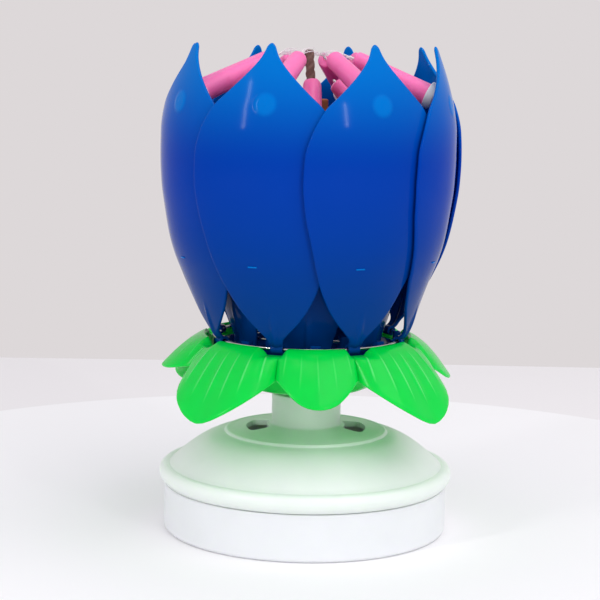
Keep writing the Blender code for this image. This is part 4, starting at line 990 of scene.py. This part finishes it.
class LOTUS_OT_drive(Operator):
    """Build the tray and hinge wires, and finish the parts inside the base"""
    bl_idname = "lotus.drive"
    bl_label = "Tray and Drive"

    def execute(self, context):
        # The tray, really natural white, is painted the petals' shaded root blue as painted shade, where it
        # sits inside the cup
        add_piece("hub_tray", hub_surfaces(), blue_polystyrene(context.scene.lotus_petals), "flower",
                  ["petal_hub"])
        steel = steel_wire()
        for row in (OUTER, INNER):
            add_piece(f"wire_{row.name}", [wire_surface(row)], steel, "flower",
                      [f"{row.name}_hinge_wire"])
        drum_plastic = white_abs("moulded_white_abs_drum", context.scene.lotus_base.drum_colour)
        for material, names in (
                (acetal(), ("drive_spindle", "motor_pinion")), (lacquered_board(), ("music_board",)),
                (steel, ("motor", "left_screw", "right_screw", "negative_contact", "positive_contact")),
                (foil_jacket(), ("battery_cell",)), (drum_plastic, ("battery_door",))):
            for name in names:
                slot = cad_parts[name].material_slots[0]
                slot.link = "OBJECT"
                slot.material = material
        return {"FINISHED"}


# The stage


def add_floor(name, middle, profile, colour):
    """A round top turned about Z with its middle at a y, in metres.

    Its paint is matt: one pale colour with the faintest mottling.
    """
    floor = joined_mesh(name, [moved(lathe(profile, 512), 0, (0, middle, 0))])
    floor.materials.append(finish(
        "painted_" + name, {"Roughness": 0.6, "Specular IOR Level": 0.2},
        size=60.0, height=0.0, colour=linear(colour), spread=0.006))
    link_object(name, floor)


def add_light(name, size, place, aim, power):
    """A rectangular soft light at a place, aimed at a point."""
    data = bpy.data.lights.new(name, "AREA")
    data.shape = "RECTANGLE"
    data.size, data.size_y = size
    data.energy = power
    light = link_object(name, data)
    light.location = place
    light.rotation_euler = (Vector(aim) - Vector(place)).to_track_quat("-Z", "Y").to_euler()
    return light


def add_world(scene):
    """An even soft light from all round, in front of which the camera, gloss and glass see a pale wall."""
    scene.world = bpy.data.worlds.new("studio")
    scene.world.use_nodes = True
    tree = scene.world.node_tree
    light = tree.nodes["Background"]
    light.inputs["Color"].default_value = (*linear("#F7F7FA"), 1)
    light.inputs["Strength"].default_value = 0.74
    wall = add_node(tree, "ShaderNodeBackground", {}, {"Color": (*linear("#DDD8D9"), 1), "Strength": 1.0})
    rays = add_node(tree, "ShaderNodeLightPath")
    seen = rays.outputs["Is Camera Ray"]
    for kind in ("Is Glossy Ray", "Is Transmission Ray"):
        seen = add_node(tree, "ShaderNodeMath", {"operation": "MAXIMUM"}, {
            0: seen, 1: rays.outputs[kind]}).outputs["Value"]
    mix = add_node(tree, "ShaderNodeMixShader", {}, {0: seen, 1: light.outputs[0], 2: wall.outputs[0]})
    tree.links.new(mix.outputs[0], tree.nodes["World Output"].inputs["Surface"])


def add_camera(scene, place, tilt, roll, lens):
    """The scene's camera at a place, tilted down and rolled by degrees."""
    data = bpy.data.cameras.new("camera")
    data.lens = lens
    data.sensor_width = 36.0
    scene.camera = link_object("camera", data)
    turn = Matrix.Rotation(math.radians(90 - tilt), 4, "X") @ Matrix.Rotation(math.radians(roll), 4, "Z")
    scene.camera.matrix_world = Matrix.Translation(place) @ turn


class LOTUS_OT_stage(Operator):
    """Build the pale table top, the soft lights, the world and the camera"""
    bl_idname = "lotus.stage"
    bl_label = "Stage"

    def execute(self, context):
        scene = context.scene
        table = np.array([(0, -4), (179, -4), (180, -1), (179.4, 0), (0, 0)]) * MM
        add_floor("table_top", 26 * MM, table, "#F9F7F9")
        add_floor("ground", -5.687, [(0, -7 * MM), (6.0, -7 * MM), (6.0, -5 * MM), (0, -5 * MM)], "#F0ECEE")
        add_world(scene)
        flower = (0, 0, 80 * MM)
        add_light("left_window", (0.02, 0.34), (-0.60, -0.56, 0.38), flower, 1.2)
        add_light("right_fill", (0.028, 0.2), (0.50, -0.81, 0.41), flower, 0.9)
        front = add_light("front_soft", (1.0, 0.8), (0.45, -1.0, 0.6), (0, 0, 30 * MM), 1.7)
        front.visible_glossy = False
        add_light("top_soft", (0.9, 0.9), (0.3, -0.25, 0.95), flower, 3.4)
        add_camera(scene, Vector((-2.4, -509, 137.5)) * MM, tilt=7.8, roll=1.0, lens=104.7)
        scene.view_settings.view_transform = "Standard"
        return {"FINISHED"}


class LOTUS_PT_panel(Panel):
    """Sizes, colours and build steps of the lotus candle"""
    bl_idname = "LOTUS_PT_panel"
    bl_label = "Lotus Candle"
    bl_space_type = "VIEW_3D"
    bl_region_type = "UI"
    bl_category = "Lotus Candle"

    def draw(self, context):
        for settings, operator in zip_longest(GROUPS, OPERATORS):
            if settings:
                group = getattr(context.scene, settings)
                for name in group.__annotations__:
                    self.layout.prop(group, name)
            self.layout.operator(operator.bl_idname)


GROUPS = {
    "lotus_base": MusicBaseSettings, "lotus_collar": LeafCollarSettings,
    "lotus_petals": PetalSettings, "lotus_candles": CandleSettings,
}
# The build steps in order: the first four have the settings above
OPERATORS = (
    LOTUS_OT_music_base, LOTUS_OT_leaf_collar, LOTUS_OT_petals, LOTUS_OT_candles,
    LOTUS_OT_fountain, LOTUS_OT_drive, LOTUS_OT_stage,
)
CLASSES = (*GROUPS.values(), *OPERATORS, LOTUS_PT_panel)


def register():
    """Register the classes and hang the settings on the scene."""
    for made in CLASSES:
        bpy.utils.register_class(made)
    for name, group in GROUPS.items():
        setattr(bpy.types.Scene, name, PointerProperty(type=group))


def unregister():
    """Take the settings and the classes away."""
    for name in GROUPS:
        delattr(bpy.types.Scene, name)
    for made in reversed(CLASSES):
        bpy.utils.unregister_class(made)


def main():
    """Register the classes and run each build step."""
    register()
    for operator in OPERATORS:
        getattr(bpy.ops.lotus, operator.bl_idname.removeprefix("lotus."))()


if __name__ == "__main__":
    main()
